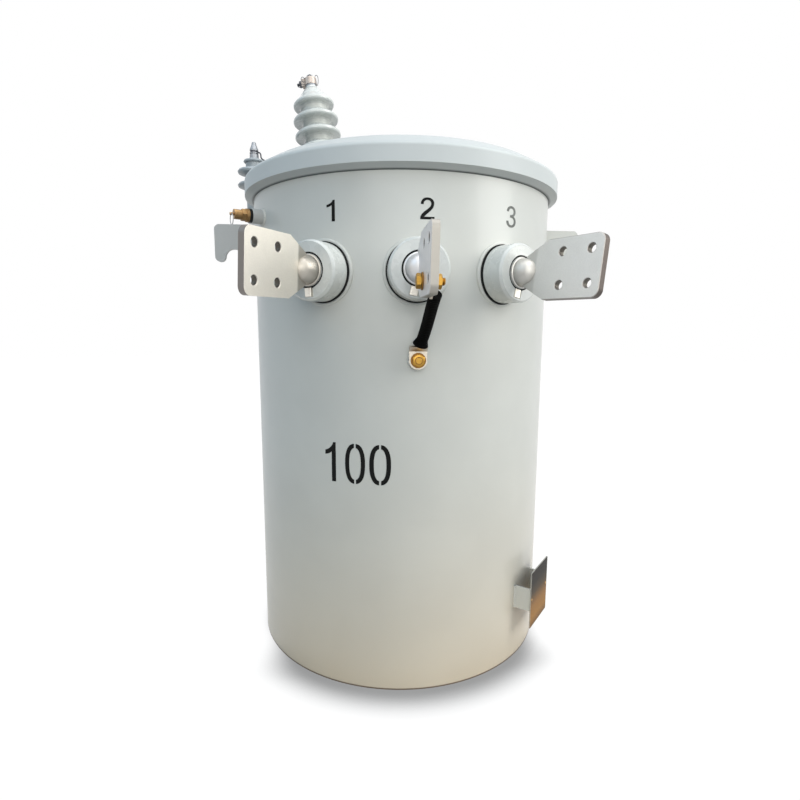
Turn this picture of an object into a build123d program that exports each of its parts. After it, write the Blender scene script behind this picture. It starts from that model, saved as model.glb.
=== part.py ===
"""Pole mounted distribution transformer: round tank, domed cover, three low voltage bushings.

Millimetres, +Z up. The origin is the centre of the tank's underside, on the tank's axis.
The middle low voltage bushing faces -Y and the pole side faces +Y. Angles round the tank are
degrees from the front, growing toward +X.
"""

import os
from math import cos, hypot, radians, sin, sqrt

from build123d import *

# ---------------------------------------------------------------- driving dimensions
# Tank
tank_radius = 266.7
tank_wall = 3.0
tank_height = 802.0
bottom_sheet = 5.0
bottom_flange = 22.0
rim_flange = 9.3
rim_sheet = 5.0
fit_gap = 0.3

# Cover and its clamping band
gasket_sheet = 3.5
cover_sheet = 3.0
dome_edge_inset = 17.7
cover_rise = 66.0
band_sheet = 2.5
band_foot_drop = 13.6
band_overhang = 14.9
band_foot_rise = 7.3
band_upright = 25.9
band_lip_slope = 30.0
band_lip_inset = 15.7
band_gap = 22.0
band_ear = 26.0
band_ear_sheet = 6.0
band_bolt = 10.0

# Low voltage bushings
lv_angles = (-30.0, 0.0, 30.0)
lv_drop = 150.5
lv_pad_radius = 48.5
lv_pad_proud = 0.8
lv_bore = 29.0
lv_gasket_radius = 44.4
lv_gasket_sheet = 1.8
lv_collar_radius = 42.6
lv_face_radius = 39.5
lv_collar_taper = 3.6
lv_collar_length = 36.7
lv_groove_outer = 25.2
lv_groove_width = 2.6
lv_groove_depth = 3.0
lv_tail = 34.0
lv_key_turns = (-3, 12, 12)
lv_key_outer = 37.0
lv_key_width = 14.0
lv_key_depth = 3.0
lv_tab_width = 10.4
lv_tab_shift = 1.4
lv_tab_proud = 1.6

# Spade terminals
spade_twists = (3.5, 1.0, 8.0)
spade_sheet = 10.0
spade_width = 82.0
spade_neck_width = 42.0
spade_reach = 135.0
spade_knee = 48.0
spade_neck = 10.5
spade_ball = 20.5
spade_nose = 29.0
hole_pitch = 44.45
hole_radius = 6.0
hole_edge = 18.0

# Ground strap of the middle bushing
strap_bolt = 10.0
strap_hex = 17.0
strap_hex_height = 7.0
strap_washer = 22.0
strap_washer_sheet = 2.0
lug_sheet = 4.0
lug_radius = 13.0
lug_tongue = 21.0
lug_bend = 14.0
lug_rise = 9.0
lug_out = 6.0
sleeve_radius = 8.3
sleeve_flare = 11.3
sleeve_lip = 8.0
ground_angle = 0.4
ground_drop = 125.5
ground_boss_radius = 12.5
ground_boss_length = 9.0

# High voltage bushing on the cover
hv_inset = 79.7
hv_angle = -129.0
hv_lean = 10.0
hv_boss_radius = 47.0
hv_boss_length = 16.0
hv_foot_radius = 38.0
hv_gasket_sheet = 3.0
hv_core_radius = 27.0
hv_shed_radii = (46.5, 46.5, 46.5, 45.5, 41.0)
hv_shed_pitch = 31.0
hv_first_shed = 45.5
hv_skirt = 4.5
hv_crown_radius = 24.5
hv_crown_rise = 20.0
hv_neck_radius = 12.0
hv_neck_rise = 36.0
hv_tail_radius = 22.0
hv_tail = 58.0
hv_cap_radius = 11.5
hv_cap_sheet = 4.0
hv_stud_radius = 6.0
hv_stud = 24.0
connector_radius = 12.5
connector_tall = 14.0
connector_turn = -63.0

# Surge arrester beside the tank
arrester_standoff = 60.3
arrester_angle = -116.4
arrester_drop = 30.0
arrester_arm_width = 36.0
arrester_arm_sheet = 6.0
arrester_leg = 62.0
arrester_leg_sheet = 6.0
arrester_bolt_radius = 5.2
arrester_hex = 17.0
arrester_foot_radius = 15.0
arrester_foot = 8.0
arrester_ferrule_radius = 18.0
arrester_ferrule = 26.0
arrester_core = 17.5
arrester_sheds = ((82.8, 34.5), (109.6, 34.0))
arrester_cap_height = 130.0
arrester_cap_radius = 21.8
arrester_neck_radius = 9.0
arrester_neck_foot = 136.5
arrester_groove_height = 143.5
arrester_eye_height = 147.4
arrester_eye_sheet = 3.6
arrester_stud_top = 168.6

# Jumper wire between the arrester and the cover bushing
jumper_radius = 1.4
jumper_eye_radius = 7.6
jumper_bow = 48.0
jumper_sag = 27.0
jumper_clear = 16.0

# Pressure relief valve
prv_angle = -62.0
prv_drop = 54.5
prv_boss_radius = 11.5
prv_boss_length = 18.5
prv_bore = 6.0
prv_gasket_sheet = 4.5
prv_flange_radius = 10.4
prv_flange_sheet = 4.5
prv_hex = 17.2
prv_hex_height = 7.0
prv_cap_radius = 7.7
prv_cap = 12.0
prv_pin_radius = 2.2
prv_pin = 18.0
prv_ring_radius = 8.2
prv_ring_wire = 0.7

# Lifting lugs
lug_drop = 45.5
lug_reach = 76.5
lug_plate = 10.0
lug_depth = 67.0
lug_tip_width = 18.5
lug_notch_radius = 15.5
lug_notch_drop = 44.0
lug_leg_depth = 84.0

# Hanger brackets for the pole
hanger_spacing = 590.5
hanger_drop = 99.5
hanger_standoff = 78.0
hanger_width = 114.0
hanger_sheet = 8.0
hanger_tall = 128.0
hanger_slot_radius = 10.5
hanger_slot_length = 38.0

# Nameplate
plate_angle = 52.0
plate_width = 84.0
plate_tall = 101.0
plate_sheet = 1.5
plate_height = 112.2
plate_standoff = 26.0
plate_leg_tall = 39.5
plate_leg_sheet = 3.0
plate_foot = 14.0

# Tank ground pad near the bottom
pad_angle = -150.0
pad_height = 62.0
pad_radius = 16.0
pad_length = 14.0
pad_thread = 6.5

# Core and coils on the tank's bottom
core_width = 400.0
core_depth = 220.0
core_tall = 440.0
core_build = 70.0
coil_depth = 340.0
coil_gap = 6.0

# ---------------------------------------------------------------- shared places
tank_inside = tank_radius - tank_wall
rim_radius = tank_radius + rim_flange
dome_edge_radius = tank_radius - dome_edge_inset
band_lip_inner = tank_radius - band_lip_inset
hv_radius = tank_radius - hv_inset
arrester_radius = tank_radius + arrester_standoff
cover_apex = tank_height + cover_rise
lv_height = tank_height - lv_drop
ground_height = lv_height - ground_drop
prv_height = tank_height - prv_drop
lug_height = tank_height - lug_drop
arrester_arm_height = tank_height - arrester_drop
gasket_top = tank_height + gasket_sheet
band_foot = tank_height - band_foot_drop
band_radius = tank_radius + band_overhang
band_shoulder = band_foot + band_foot_rise + band_upright
lip_rise = (band_radius - band_lip_inner) * sin(radians(band_lip_slope)) / cos(radians(band_lip_slope))
band_lip_top = band_shoulder + lip_rise
lip_clear = band_sheet / cos(radians(band_lip_slope)) + fit_gap
dome_edge_top = band_lip_top - lip_clear + 1.2
cover_skirt_radius = rim_radius
skirt_top = dome_edge_top - (cover_skirt_radius - dome_edge_radius) * 0.577
lv_pad_face = tank_radius + lv_pad_proud
lv_seat = lv_pad_face + lv_gasket_sheet
lv_face = lv_seat + lv_collar_length
lv_hub_radius = lv_groove_outer - lv_groove_width - 0.6
lv_key_inner = lv_groove_outer - lv_groove_width / 2
lv_key_span = lv_key_outer - lv_key_inner
lv_key_middle = (lv_key_inner + lv_key_outer) / 2
spade_tip = lv_face + spade_reach
spade_outer_column = spade_tip - hole_edge
spade_inner_column = spade_outer_column - hole_pitch
ground_face = tank_radius + ground_boss_length
hanger_face = tank_radius + hanger_standoff
hanger_upper = tank_height - hanger_drop
hanger_lower = hanger_upper - hanger_spacing
arrester_floor = arrester_arm_height + arrester_arm_sheet


def facing(angle, radius, height):
    """Plane whose Z axis points straight out of the tank and whose Y axis points up."""
    turn = radians(angle)
    return Plane(
        origin=(radius * sin(turn), -radius * cos(turn), height),
        x_dir=(cos(turn), sin(turn), 0),
        z_dir=(sin(turn), -cos(turn), 0),
    )


def upright(angle):
    """Plane through the tank's axis: X axis points out of the tank, Y axis points up."""
    turn = radians(angle)
    return Plane(origin=(0, 0, 0), x_dir=(sin(turn), -cos(turn), 0), z_dir=(-cos(turn), -sin(turn), 0))


def save(part, label):
    """Name a part and write its STEP file."""
    part.label = label
    export_step(part, f"parts/{label}.step")


os.makedirs("parts", exist_ok=True)

# ---------------------------------------------------------------- tank
with BuildPart() as tank_shell:
    with BuildSketch(Plane.XZ):
        with BuildLine():
            Polyline(
                (tank_inside, 0),
                (tank_radius, 0),
                (tank_radius, tank_height - rim_sheet),
                (rim_radius, tank_height - rim_sheet),
                (rim_radius, tank_height),
                (tank_inside, tank_height),
                close=True,
            )
        make_face()
    revolve(axis=Axis.Z)
    for angle in lv_angles:
        with BuildSketch(facing(angle, tank_inside - 4, lv_height)):
            Circle(lv_pad_radius)
        extrude(until=None, amount=lv_pad_face - tank_inside + 4)
    pad_faces = tank_shell.edges().filter_by(GeomType.CIRCLE).filter_by(
        lambda edge: abs(edge.radius - lv_pad_radius) < 0.01
    )
    fillet([edge for edge in pad_faces if hypot(edge.arc_center.X, edge.arc_center.Y) > lv_pad_face - 0.1], 2.6)
    with BuildSketch():
        Circle(tank_inside)
    extrude(amount=tank_height, mode=Mode.SUBTRACT)
    for angle in lv_angles:
        with BuildSketch(facing(angle, tank_inside - 12, lv_height)):
            Circle(lv_bore)
        extrude(amount=30, mode=Mode.SUBTRACT)
    with BuildSketch(facing(prv_angle, tank_inside - 2, prv_height)):
        Circle(prv_bore)
    extrude(amount=tank_wall + 4, mode=Mode.SUBTRACT)
save(tank_shell.part, "tank_shell")

with BuildPart() as tank_bottom:
    with BuildSketch(Plane.XZ):
        with BuildLine():
            Polyline(
                (0, 0),
                (tank_inside - fit_gap, 0),
                (tank_inside - fit_gap, bottom_flange),
                (tank_inside - fit_gap - bottom_sheet, bottom_flange),
                (tank_inside - fit_gap - bottom_sheet, bottom_sheet),
                (0, bottom_sheet),
                close=True,
            )
        make_face()
    revolve(axis=Axis.Z)
save(tank_bottom.part, "tank_bottom")

# ---------------------------------------------------------------- cover
with BuildPart() as cover_gasket:
    with BuildSketch(Plane.XY.offset(tank_height)):
        Circle(rim_radius - 0.5)
        Circle(tank_inside + 0.5, mode=Mode.SUBTRACT)
    extrude(amount=gasket_sheet)
save(cover_gasket.part, "cover_gasket")


def cover_profile(sheet):
    """Closed section of the cover from its axis to its skirt, at the given sheet thickness."""
    inner_skirt = cover_skirt_radius - sheet
    with BuildSketch(Plane.XZ) as section:
        with BuildLine():
            TangentArc((0, cover_apex), (dome_edge_radius, dome_edge_top), tangent=(1, 0))
            Polyline(
                (dome_edge_radius, dome_edge_top),
                (cover_skirt_radius, skirt_top),
                (cover_skirt_radius, gasket_top),
                (inner_skirt, gasket_top),
                (inner_skirt, skirt_top - sheet),
                (dome_edge_radius - 1, dome_edge_top - sheet - 0.3),
            )
            TangentArc((0, cover_apex - sheet), (dome_edge_radius - 1, dome_edge_top - sheet - 0.3), tangent=(1, 0))
            Line((0, cover_apex), (0, cover_apex - sheet))
        make_face()
    return section.sketch


def dome_height(radius):
    """Height of the dome's outer skin at a distance from the axis."""
    drop = cover_apex - dome_edge_top
    sphere = (dome_edge_radius ** 2 + drop ** 2) / (2 * drop)
    return cover_apex - sphere + sqrt(sphere ** 2 - radius ** 2)


hv_turn = radians(hv_angle)
hv_tilt = radians(hv_lean)
hv_seat = Plane(
    origin=(hv_radius * sin(hv_turn), -hv_radius * cos(hv_turn), dome_height(hv_radius)),
    x_dir=(cos(hv_turn), sin(hv_turn), 0),
    z_dir=(sin(hv_tilt) * sin(hv_turn), -sin(hv_tilt) * cos(hv_turn), cos(hv_tilt)),
)

with BuildPart() as cover:
    add(cover_profile(cover_sheet))
    revolve(axis=Axis.Z)
    with BuildSketch(hv_seat.offset(-30)):
        Circle(hv_tail_radius + 2)
    extrude(amount=60, mode=Mode.SUBTRACT)
save(cover.part, "cover")

with BuildPart() as cover_band:
    with BuildSketch(Plane.XZ):
        with BuildLine():
            Polyline(
                (tank_radius, band_foot),
                (band_radius, band_foot + band_foot_rise),
                (band_radius, band_shoulder),
                (band_lip_inner, band_lip_top),
            )
            offset(amount=band_sheet, side=Side.LEFT, kind=Kind.INTERSECTION)
        make_face()
    revolve(axis=Axis.Z)
    shoulders = cover_band.edges().filter_by(GeomType.CIRCLE).filter_by(
        lambda edge: abs(edge.radius - band_radius) < 0.01
    )
    fillet(shoulders.sort_by(Axis.Z)[-1], 7)
    with BuildSketch(Plane.XY.offset(band_foot - 5)):
        Circle(tank_radius + fit_gap)
    extrude(amount=band_upright, mode=Mode.SUBTRACT)
    with Locations((0, band_radius, band_shoulder)):
        Box(band_gap, 90, 120, mode=Mode.SUBTRACT)
    ear_middle = band_foot + band_foot_rise + band_upright / 2
    for side in (-1, 1):
        with BuildSketch(Plane.YZ.offset(side * (band_gap / 2 + band_ear_sheet / 2))):
            with Locations((band_radius + band_ear / 2 - 1.8, ear_middle)):
                RectangleRounded(band_ear, band_upright - 2, 4)
            with Locations((band_radius + band_ear - 10, ear_middle)):
                Circle(band_bolt / 2 + 0.5, mode=Mode.SUBTRACT)
        extrude(amount=band_ear_sheet / 2, both=True)
save(cover_band.part, "cover_band")

with BuildPart() as band_draw_bolt:
    bolt_reach = band_gap / 2 + band_ear_sheet + 0.2
    with Locations(Plane.YZ.offset(-bolt_reach)):
        with Locations((band_radius + band_ear - 10, ear_middle)):
            Cylinder(band_bolt / 2, 2 * bolt_reach + 18, align=(Align.CENTER, Align.CENTER, Align.MIN))
    for start, height in ((-bolt_reach - 6.5, 6.5), (bolt_reach, 8.5)):
        with BuildSketch(Plane.YZ.offset(start)):
            with Locations((band_radius + band_ear - 10, ear_middle)):
                RegularPolygon(8.2, 6, major_radius=False)
        extrude(amount=height)
save(band_draw_bolt.part, "band_draw_bolt")

# ---------------------------------------------------------------- low voltage bushings
# Each is drawn on its own axis: Z is the distance from the tank's axis along the bushing.
with BuildPart() as lv_gasket:
    with BuildSketch(Plane.XY.offset(lv_pad_face)):
        Circle(lv_gasket_radius)
        Circle(lv_bore, mode=Mode.SUBTRACT)
    extrude(amount=lv_gasket_sheet)

with BuildPart() as lv_insulator:
    with BuildSketch(Plane.XZ):
        with BuildLine():
            Polyline(
                (0, lv_seat - lv_tail),
                (lv_bore - 1.5, lv_seat - lv_tail),
                (lv_bore - 1.5, lv_seat),
                (lv_collar_radius, lv_seat),
                (lv_collar_radius, lv_face - lv_collar_taper),
                (lv_face_radius, lv_face),
                (lv_groove_outer, lv_face),
                (lv_groove_outer, lv_face - lv_groove_depth),
                (lv_groove_outer - lv_groove_width, lv_face - lv_groove_depth),
                (lv_groove_outer - lv_groove_width, lv_face),
                (0, lv_face),
                close=True,
            )
        make_face()
    revolve(axis=Axis.Z)
    collar_edges = lv_insulator.edges().filter_by(GeomType.CIRCLE)
    fillet([edge for edge in collar_edges if abs(edge.radius - lv_collar_radius) < 0.01], 2.4)
    with BuildSketch(Plane.XY.offset(lv_face)):
        with Locations((0, -lv_key_middle)):
            Rectangle(lv_key_width, lv_key_span)
    extrude(amount=-lv_key_depth, mode=Mode.SUBTRACT)

with BuildPart() as lv_terminal:
    with BuildSketch(Plane.XZ):
        with BuildLine():
            Polyline(
                (0, lv_face + 0.1),
                (lv_hub_radius, lv_face + 0.1),
                (lv_hub_radius, lv_face + 1.2),
                (spade_ball, lv_face + 2.4),
            )
            ThreePointArc(
                (spade_ball, lv_face + 2.4),
                (spade_ball - 1.3, lv_face + 12),
                (spade_ball - 4.5, lv_face + spade_nose - 8),
            )
            ThreePointArc(
                (spade_ball - 4.5, lv_face + spade_nose - 8),
                (spade_ball - 11, lv_face + spade_nose - 1.5),
                (0, lv_face + spade_nose + 1),
            )
            Line((0, lv_face + spade_nose + 1), (0, lv_face + 0.1))
        make_face()
    revolve(axis=Axis.Z)
    with BuildSketch(Plane.YZ) as blade:
        with BuildLine():
            Polyline(
                (-spade_neck_width / 2, lv_face + spade_neck),
                (spade_neck_width / 2, lv_face + spade_neck),
                (spade_width / 2, lv_face + spade_knee),
                (spade_width / 2, spade_tip),
                (-spade_width / 2, spade_tip),
                (-spade_width / 2, lv_face + spade_knee),
                close=True,
            )
        make_face()
        fillet(blade.vertices().group_by(Axis.Y)[-1], 11)
        fillet(blade.vertices().group_by(Axis.Y)[0], 7)
    extrude(amount=spade_sheet / 2, both=True)
    blade_faces = lv_terminal.faces().filter_by(Axis.X).sort_by(Axis.X)
    chamfer(blade_faces[0].outer_wire().edges().group_by(Axis.Z)[-1], 0.8)
    with BuildSketch(Plane.YZ.offset(-spade_sheet / 2)):
        with Locations((0, spade_outer_column - hole_pitch / 2)):
            with GridLocations(hole_pitch, hole_pitch, 2, 2):
                Circle(hole_radius)
    extrude(amount=spade_sheet, mode=Mode.SUBTRACT)
    rims = lv_terminal.edges().filter_by(GeomType.CIRCLE)
    chamfer([rim for rim in rims if abs(rim.radius - hole_radius) < 0.01], 0.9)

with BuildPart() as lv_key_tab:
    with BuildSketch(Plane.XY.offset(lv_face - lv_key_depth + 0.1)):
        with Locations((-lv_tab_shift, -lv_key_middle)):
            Rectangle(lv_tab_width, lv_key_span - 2 * fit_gap)
    extrude(amount=lv_key_depth + lv_tab_proud)
    chamfer(lv_key_tab.edges().group_by(Axis.Z)[-1], 0.6)

for number, (angle, twist, turn) in enumerate(zip(lv_angles, spade_twists, lv_key_turns), start=1):
    axis_place = facing(angle, 0, lv_height).location
    save(axis_place * Rot(0, 0, -turn) * lv_insulator.part, f"lv_insulator_{number}")
    save(axis_place * Rot(0, 0, -twist) * lv_terminal.part, f"lv_terminal_{number}")

with BuildPart() as lv_key_tabs:
    for angle, turn in zip(lv_angles, lv_key_turns):
        add(facing(angle, 0, lv_height).location * Rot(0, 0, -turn) * lv_key_tab.part)
save(lv_key_tabs.part, "lv_key_tabs")

with BuildPart() as lv_gasket_set:
    for angle in lv_angles:
        add(facing(angle, 0, lv_height).location * lv_gasket.part)
save(lv_gasket_set.part, "lv_gaskets")

# ---------------------------------------------------------------- ground strap
tap_place = facing(lv_angles[1], 0, lv_height).location * Rot(0, 0, -spade_twists[1])
tap_height = -hole_pitch / 2

with BuildPart() as strap_bolt_upper:
    head_side = -spade_sheet / 2 - strap_washer_sheet
    nut_side = spade_sheet / 2 + lug_sheet + strap_washer_sheet
    with Locations(Plane.YZ.offset(head_side)):
        with Locations((tap_height, spade_inner_column)):
            Cylinder(strap_bolt / 2, nut_side - head_side + 12, align=(Align.CENTER, Align.CENTER, Align.MIN))
            Cylinder(strap_washer / 2, strap_washer_sheet, align=(Align.CENTER, Align.CENTER, Align.MIN))
    with Locations(Plane.YZ.offset(nut_side - strap_washer_sheet)):
        with Locations((tap_height, spade_inner_column)):
            Cylinder(strap_washer / 2, strap_washer_sheet, align=(Align.CENTER, Align.CENTER, Align.MIN))
    for start, height in ((head_side - strap_hex_height, strap_hex_height), (nut_side, strap_hex_height + 1.4)):
        with BuildSketch(Plane.YZ.offset(start)):
            with Locations((tap_height, spade_inner_column)):
                RegularPolygon(strap_hex / 2, 6, major_radius=False)
        extrude(amount=height)
save(tap_place * strap_bolt_upper.part, "strap_bolt_upper")

ground_plane = facing(ground_angle, ground_face, ground_height)
sleeve_foot = ground_plane.from_local_coords((2.4, lug_bend + lug_rise, lug_out + lug_sheet / 2))
tap_frame = Plane(tap_place)
tap_side = tap_frame.x_dir
tap_bolt = tap_frame.from_local_coords((spade_sheet / 2, tap_height, spade_inner_column))
reach = sleeve_foot - tap_bolt
fall = (reach - tap_side * reach.dot(tap_side)).normalized()
sleeve_head = tap_bolt + fall * (lug_tongue + 1.2) + tap_side * (sleeve_radius + 2 * fit_gap)

with BuildPart() as strap_lug_upper:
    tongue_plane = Plane(origin=tap_bolt + tap_side * 0.1, x_dir=fall, z_dir=tap_side)
    with BuildSketch(tongue_plane):
        Circle(lug_radius)
        with Locations((lug_tongue / 2, 0)):
            Rectangle(lug_tongue, 2 * lug_radius - 7)
        Circle(strap_bolt / 2 + 0.3, mode=Mode.SUBTRACT)
    extrude(amount=lug_sheet - 0.2)
save(strap_lug_upper.part, "strap_lug_upper")

with BuildPart() as strap_lug_lower:
    with BuildSketch(upright(ground_angle)):
        with BuildLine():
            Polyline(
                (ground_face + 0.1, ground_height - lug_radius),
                (ground_face + 0.1, ground_height + lug_bend),
                (ground_face + lug_out, ground_height + lug_bend + lug_rise - 1.6),
            )
            offset(amount=lug_sheet - 0.6, side=Side.RIGHT, kind=Kind.INTERSECTION)
        make_face()
    extrude(amount=lug_radius, both=True)
    lug_corners = strap_lug_lower.edges().filter_by(GeomType.LINE).sort_by(Axis.Z)
    foot_corners = [
        edge
        for edge in lug_corners
        if edge.length < lug_sheet and edge.center().Z < ground_height - lug_radius + 0.1
    ]
    fillet(foot_corners, lug_radius - 0.4)
    with BuildSketch(ground_plane.offset(-1)):
        Circle(strap_bolt / 2 + 0.3)
    extrude(amount=lug_sheet + 2, mode=Mode.SUBTRACT)
save(strap_lug_lower.part, "strap_lug_lower")

with BuildPart() as strap_sleeve:
    foot_plane = Plane(origin=sleeve_foot, z_dir=ground_plane.z_dir * 0.5 + ground_plane.y_dir * 0.87 + tap_side * 0.24)
    with Locations(foot_plane):
        Cone(sleeve_flare, sleeve_radius, sleeve_lip, align=(Align.CENTER, Align.CENTER, Align.MIN))
    with BuildLine():
        Spline(foot_plane.offset(sleeve_lip).origin, sleeve_head, tangents=(foot_plane.z_dir, tap_side * 0.1 - fall))
    with BuildSketch(foot_plane.offset(sleeve_lip)):
        Circle(sleeve_radius)
    sweep()
save(strap_sleeve.part, "strap_sleeve")

with BuildPart() as ground_boss:
    with BuildSketch(facing(ground_angle, tank_radius - 4, ground_height)):
        Circle(ground_boss_radius)
    extrude(amount=ground_boss_length + 4)
    with BuildSketch():
        Circle(tank_radius + 0.1)
    extrude(amount=tank_height, mode=Mode.SUBTRACT)
    with BuildSketch(facing(ground_angle, tank_radius, ground_height)):
        Circle(strap_bolt / 2 + 0.2)
    extrude(amount=ground_boss_length, mode=Mode.SUBTRACT)
save(ground_boss.part, "ground_boss")

with BuildPart() as strap_bolt_lower:
    seat = ground_plane.offset(lug_sheet - 0.3)
    with Locations(seat):
        Cylinder(strap_bolt / 2, 11, align=(Align.CENTER, Align.CENTER, Align.MAX))
        Cylinder(strap_washer / 2, strap_washer_sheet, align=(Align.CENTER, Align.CENTER, Align.MIN))
    with BuildSketch(seat.offset(strap_washer_sheet)):
        RegularPolygon(strap_hex / 2, 6, major_radius=False)
    extrude(amount=strap_hex_height)
save(strap_bolt_lower.part, "strap_bolt_lower")

# ---------------------------------------------------------------- high voltage bushing
# Drawn on its own axis: Z runs up the bushing from the cover's skin.
with BuildPart() as hv_boss:
    with BuildSketch(hv_seat.offset(-14)):
        Circle(hv_boss_radius)
    extrude(amount=14 + hv_boss_length)
    fillet(hv_boss.edges().filter_by(GeomType.CIRCLE).sort_by(Axis.Z)[-1], 3)
    with BuildSketch(Plane.XZ):
        with BuildLine():
            TangentArc((0, cover_apex + 0.1), (dome_edge_radius, dome_edge_top + 0.1), tangent=(1, 0))
            Polyline(
                (dome_edge_radius, dome_edge_top + 0.1),
                (dome_edge_radius, band_foot),
                (0, band_foot),
                (0, cover_apex + 0.1),
            )
        make_face()
    revolve(axis=Axis.Z, mode=Mode.SUBTRACT)
    with BuildSketch(hv_seat.offset(-20)):
        Circle(hv_tail_radius + 2)
    extrude(amount=60, mode=Mode.SUBTRACT)
save(hv_boss.part, "hv_boss")

hv_foot = hv_boss_length + hv_gasket_sheet

with BuildPart() as hv_gasket:
    with BuildSketch(Plane.XY.offset(hv_boss_length)):
        Circle(hv_foot_radius)
        Circle(hv_tail_radius + 2, mode=Mode.SUBTRACT)
    extrude(amount=hv_gasket_sheet)
save(hv_seat.location * hv_gasket.part, "hv_gasket")


def shed_outline(core, tip, height, skirt):
    """Points of one drooping shed's section from its root below to its root above."""
    return [
        (core, height - skirt - 3),
        (core + 3, height - skirt),
        (tip - 2, height - skirt),
        (tip, height - skirt + 2.5),
        (tip, height + 1.5),
        (tip - 2.5, height + 4.5),
        (core + 2, height + 14),
        (core, height + 16.5),
    ]


hv_sheds = [hv_first_shed + hv_shed_pitch * index for index in range(len(hv_shed_radii))]
hv_crown = hv_sheds[-1] + hv_crown_rise
hv_top = hv_sheds[-1] + hv_neck_rise

with BuildPart() as hv_insulator:
    outline = [(0, hv_foot - hv_tail), (hv_tail_radius, hv_foot - hv_tail), (hv_tail_radius, hv_foot)]
    outline += [(hv_foot_radius, hv_foot), (hv_foot_radius, hv_foot + 6), (hv_core_radius, hv_foot + 14)]
    for height, tip in zip(hv_sheds, hv_shed_radii):
        outline += shed_outline(hv_core_radius, tip, height, hv_skirt)
    outline += [(hv_crown_radius, hv_crown), (hv_crown_radius - 5, hv_crown + 6)]
    outline += [(hv_neck_radius + 1.5, hv_top - 3), (hv_neck_radius, hv_top), (0, hv_top)]
    with BuildSketch(Plane.XZ) as section:
        with BuildLine():
            Polyline(*outline, close=True)
        make_face()
        rounded = [
            corner
            for corner in section.vertices()
            if corner.X > hv_crown_radius - 0.1 and hv_foot + 4 < corner.Y < hv_crown + 1
        ]
        fillet(rounded, 1.6)
    revolve(axis=Axis.Z)
save(hv_seat.location * hv_insulator.part, "hv_insulator")

with BuildPart() as hv_cap:
    with Locations((0, 0, hv_top + 0.1)):
        Cylinder(hv_cap_radius, hv_cap_sheet, align=(Align.CENTER, Align.CENTER, Align.MIN))
        Cylinder(hv_stud_radius, hv_stud, align=(Align.CENTER, Align.CENTER, Align.MIN))
save(hv_seat.location * hv_cap.part, "hv_cap")

connector_foot = hv_top + hv_cap_sheet + fit_gap
connector_place = hv_seat.location * Rot(0, 0, connector_turn)
clamp_height = connector_foot + connector_tall / 2
clamp_boss = connector_radius + 5.0

with BuildPart() as hv_connector:
    with BuildSketch(Plane.XY.offset(connector_foot)):
        Circle(connector_radius)
        with Locations((clamp_boss / 2, 0)):
            Rectangle(clamp_boss, 13)
        Circle(hv_stud_radius + fit_gap, mode=Mode.SUBTRACT)
    extrude(amount=connector_tall)
    fillet(hv_connector.edges().filter_by(GeomType.CIRCLE).group_by(Axis.Z)[-1].sort_by(SortBy.LENGTH)[-1], 1.5)
    with Locations(Plane.YZ.offset(hv_stud_radius + 1)):
        with Locations((0, clamp_height)):
            Cylinder(3.3, connector_radius + 6, align=(Align.CENTER, Align.CENTER, Align.MIN), mode=Mode.SUBTRACT)
    with Locations(Location((0, -connector_radius, clamp_height), (90, 0, 0))):
        Cylinder(jumper_radius + fit_gap, 10, mode=Mode.SUBTRACT)
save(connector_place * hv_connector.part, "hv_connector")

with BuildPart() as hv_clamp_bolt:
    with Locations(Plane.YZ.offset(hv_stud_radius + 1.5)):
        with Locations((0, clamp_height)):
            Cylinder(3.0, clamp_boss - hv_stud_radius + 9, align=(Align.CENTER, Align.CENTER, Align.MIN))
    with BuildSketch(Plane.YZ.offset(clamp_boss + 0.1)):
        with Locations((0, clamp_height)):
            RegularPolygon(5.5, 6, major_radius=False)
    extrude(amount=5.5)
save(connector_place * hv_clamp_bolt.part, "hv_clamp_bolt")

# ---------------------------------------------------------------- surge arrester
arrester_plane = facing(arrester_angle, 0, 0)
arrester_spot = arrester_plane.location * Location((0, 0, arrester_radius))
arrester_at = Location((arrester_spot.position.X, arrester_spot.position.Y, arrester_floor))

with BuildPart() as arrester_bracket:
    with BuildSketch(upright(arrester_angle)):
        with BuildLine():
            Polyline(
                (tank_radius - 10, arrester_arm_height - arrester_leg),
                (tank_radius + arrester_leg_sheet, arrester_arm_height - arrester_leg),
                (tank_radius + arrester_leg_sheet, arrester_arm_height),
                (arrester_radius + arrester_arm_width / 2, arrester_arm_height),
                (arrester_radius + arrester_arm_width / 2, arrester_floor),
                (tank_radius - 10, arrester_floor),
                close=True,
            )
        make_face()
    extrude(amount=arrester_arm_width / 2, both=True)
    with BuildSketch():
        Circle(tank_radius + 0.1)
    extrude(amount=tank_height, mode=Mode.SUBTRACT)
    arm_corners = arrester_bracket.edges().filter_by(Axis.Z).filter_by(lambda edge: edge.length < 8)
    fillet(
        [edge for edge in arm_corners if hypot(edge.center().X, edge.center().Y) > arrester_radius],
        arrester_arm_width / 2 - 0.5,
    )
    with Locations(arrester_at):
        Cylinder(arrester_bolt_radius + fit_gap, 30, mode=Mode.SUBTRACT)
save(arrester_bracket.part, "arrester_bracket")

with BuildPart() as arrester_base:
    Cylinder(arrester_bolt_radius, arrester_arm_sheet + 12, align=(Align.CENTER, Align.CENTER, Align.MAX))
    Cylinder(arrester_foot_radius, arrester_foot, align=(Align.CENTER, Align.CENTER, Align.MIN))
    with BuildSketch(Plane.XY.offset(-arrester_arm_sheet - 8.1)):
        RegularPolygon(arrester_hex / 2, 6, major_radius=False)
    extrude(amount=8)
    with Locations((0, 0, arrester_foot)):
        Cylinder(arrester_ferrule_radius, arrester_ferrule, align=(Align.CENTER, Align.CENTER, Align.MIN))
    fillet(arrester_base.edges().filter_by(GeomType.CIRCLE).sort_by(Axis.Z)[-1], 4)
save(arrester_at * arrester_base.part, "arrester_base")

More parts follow.
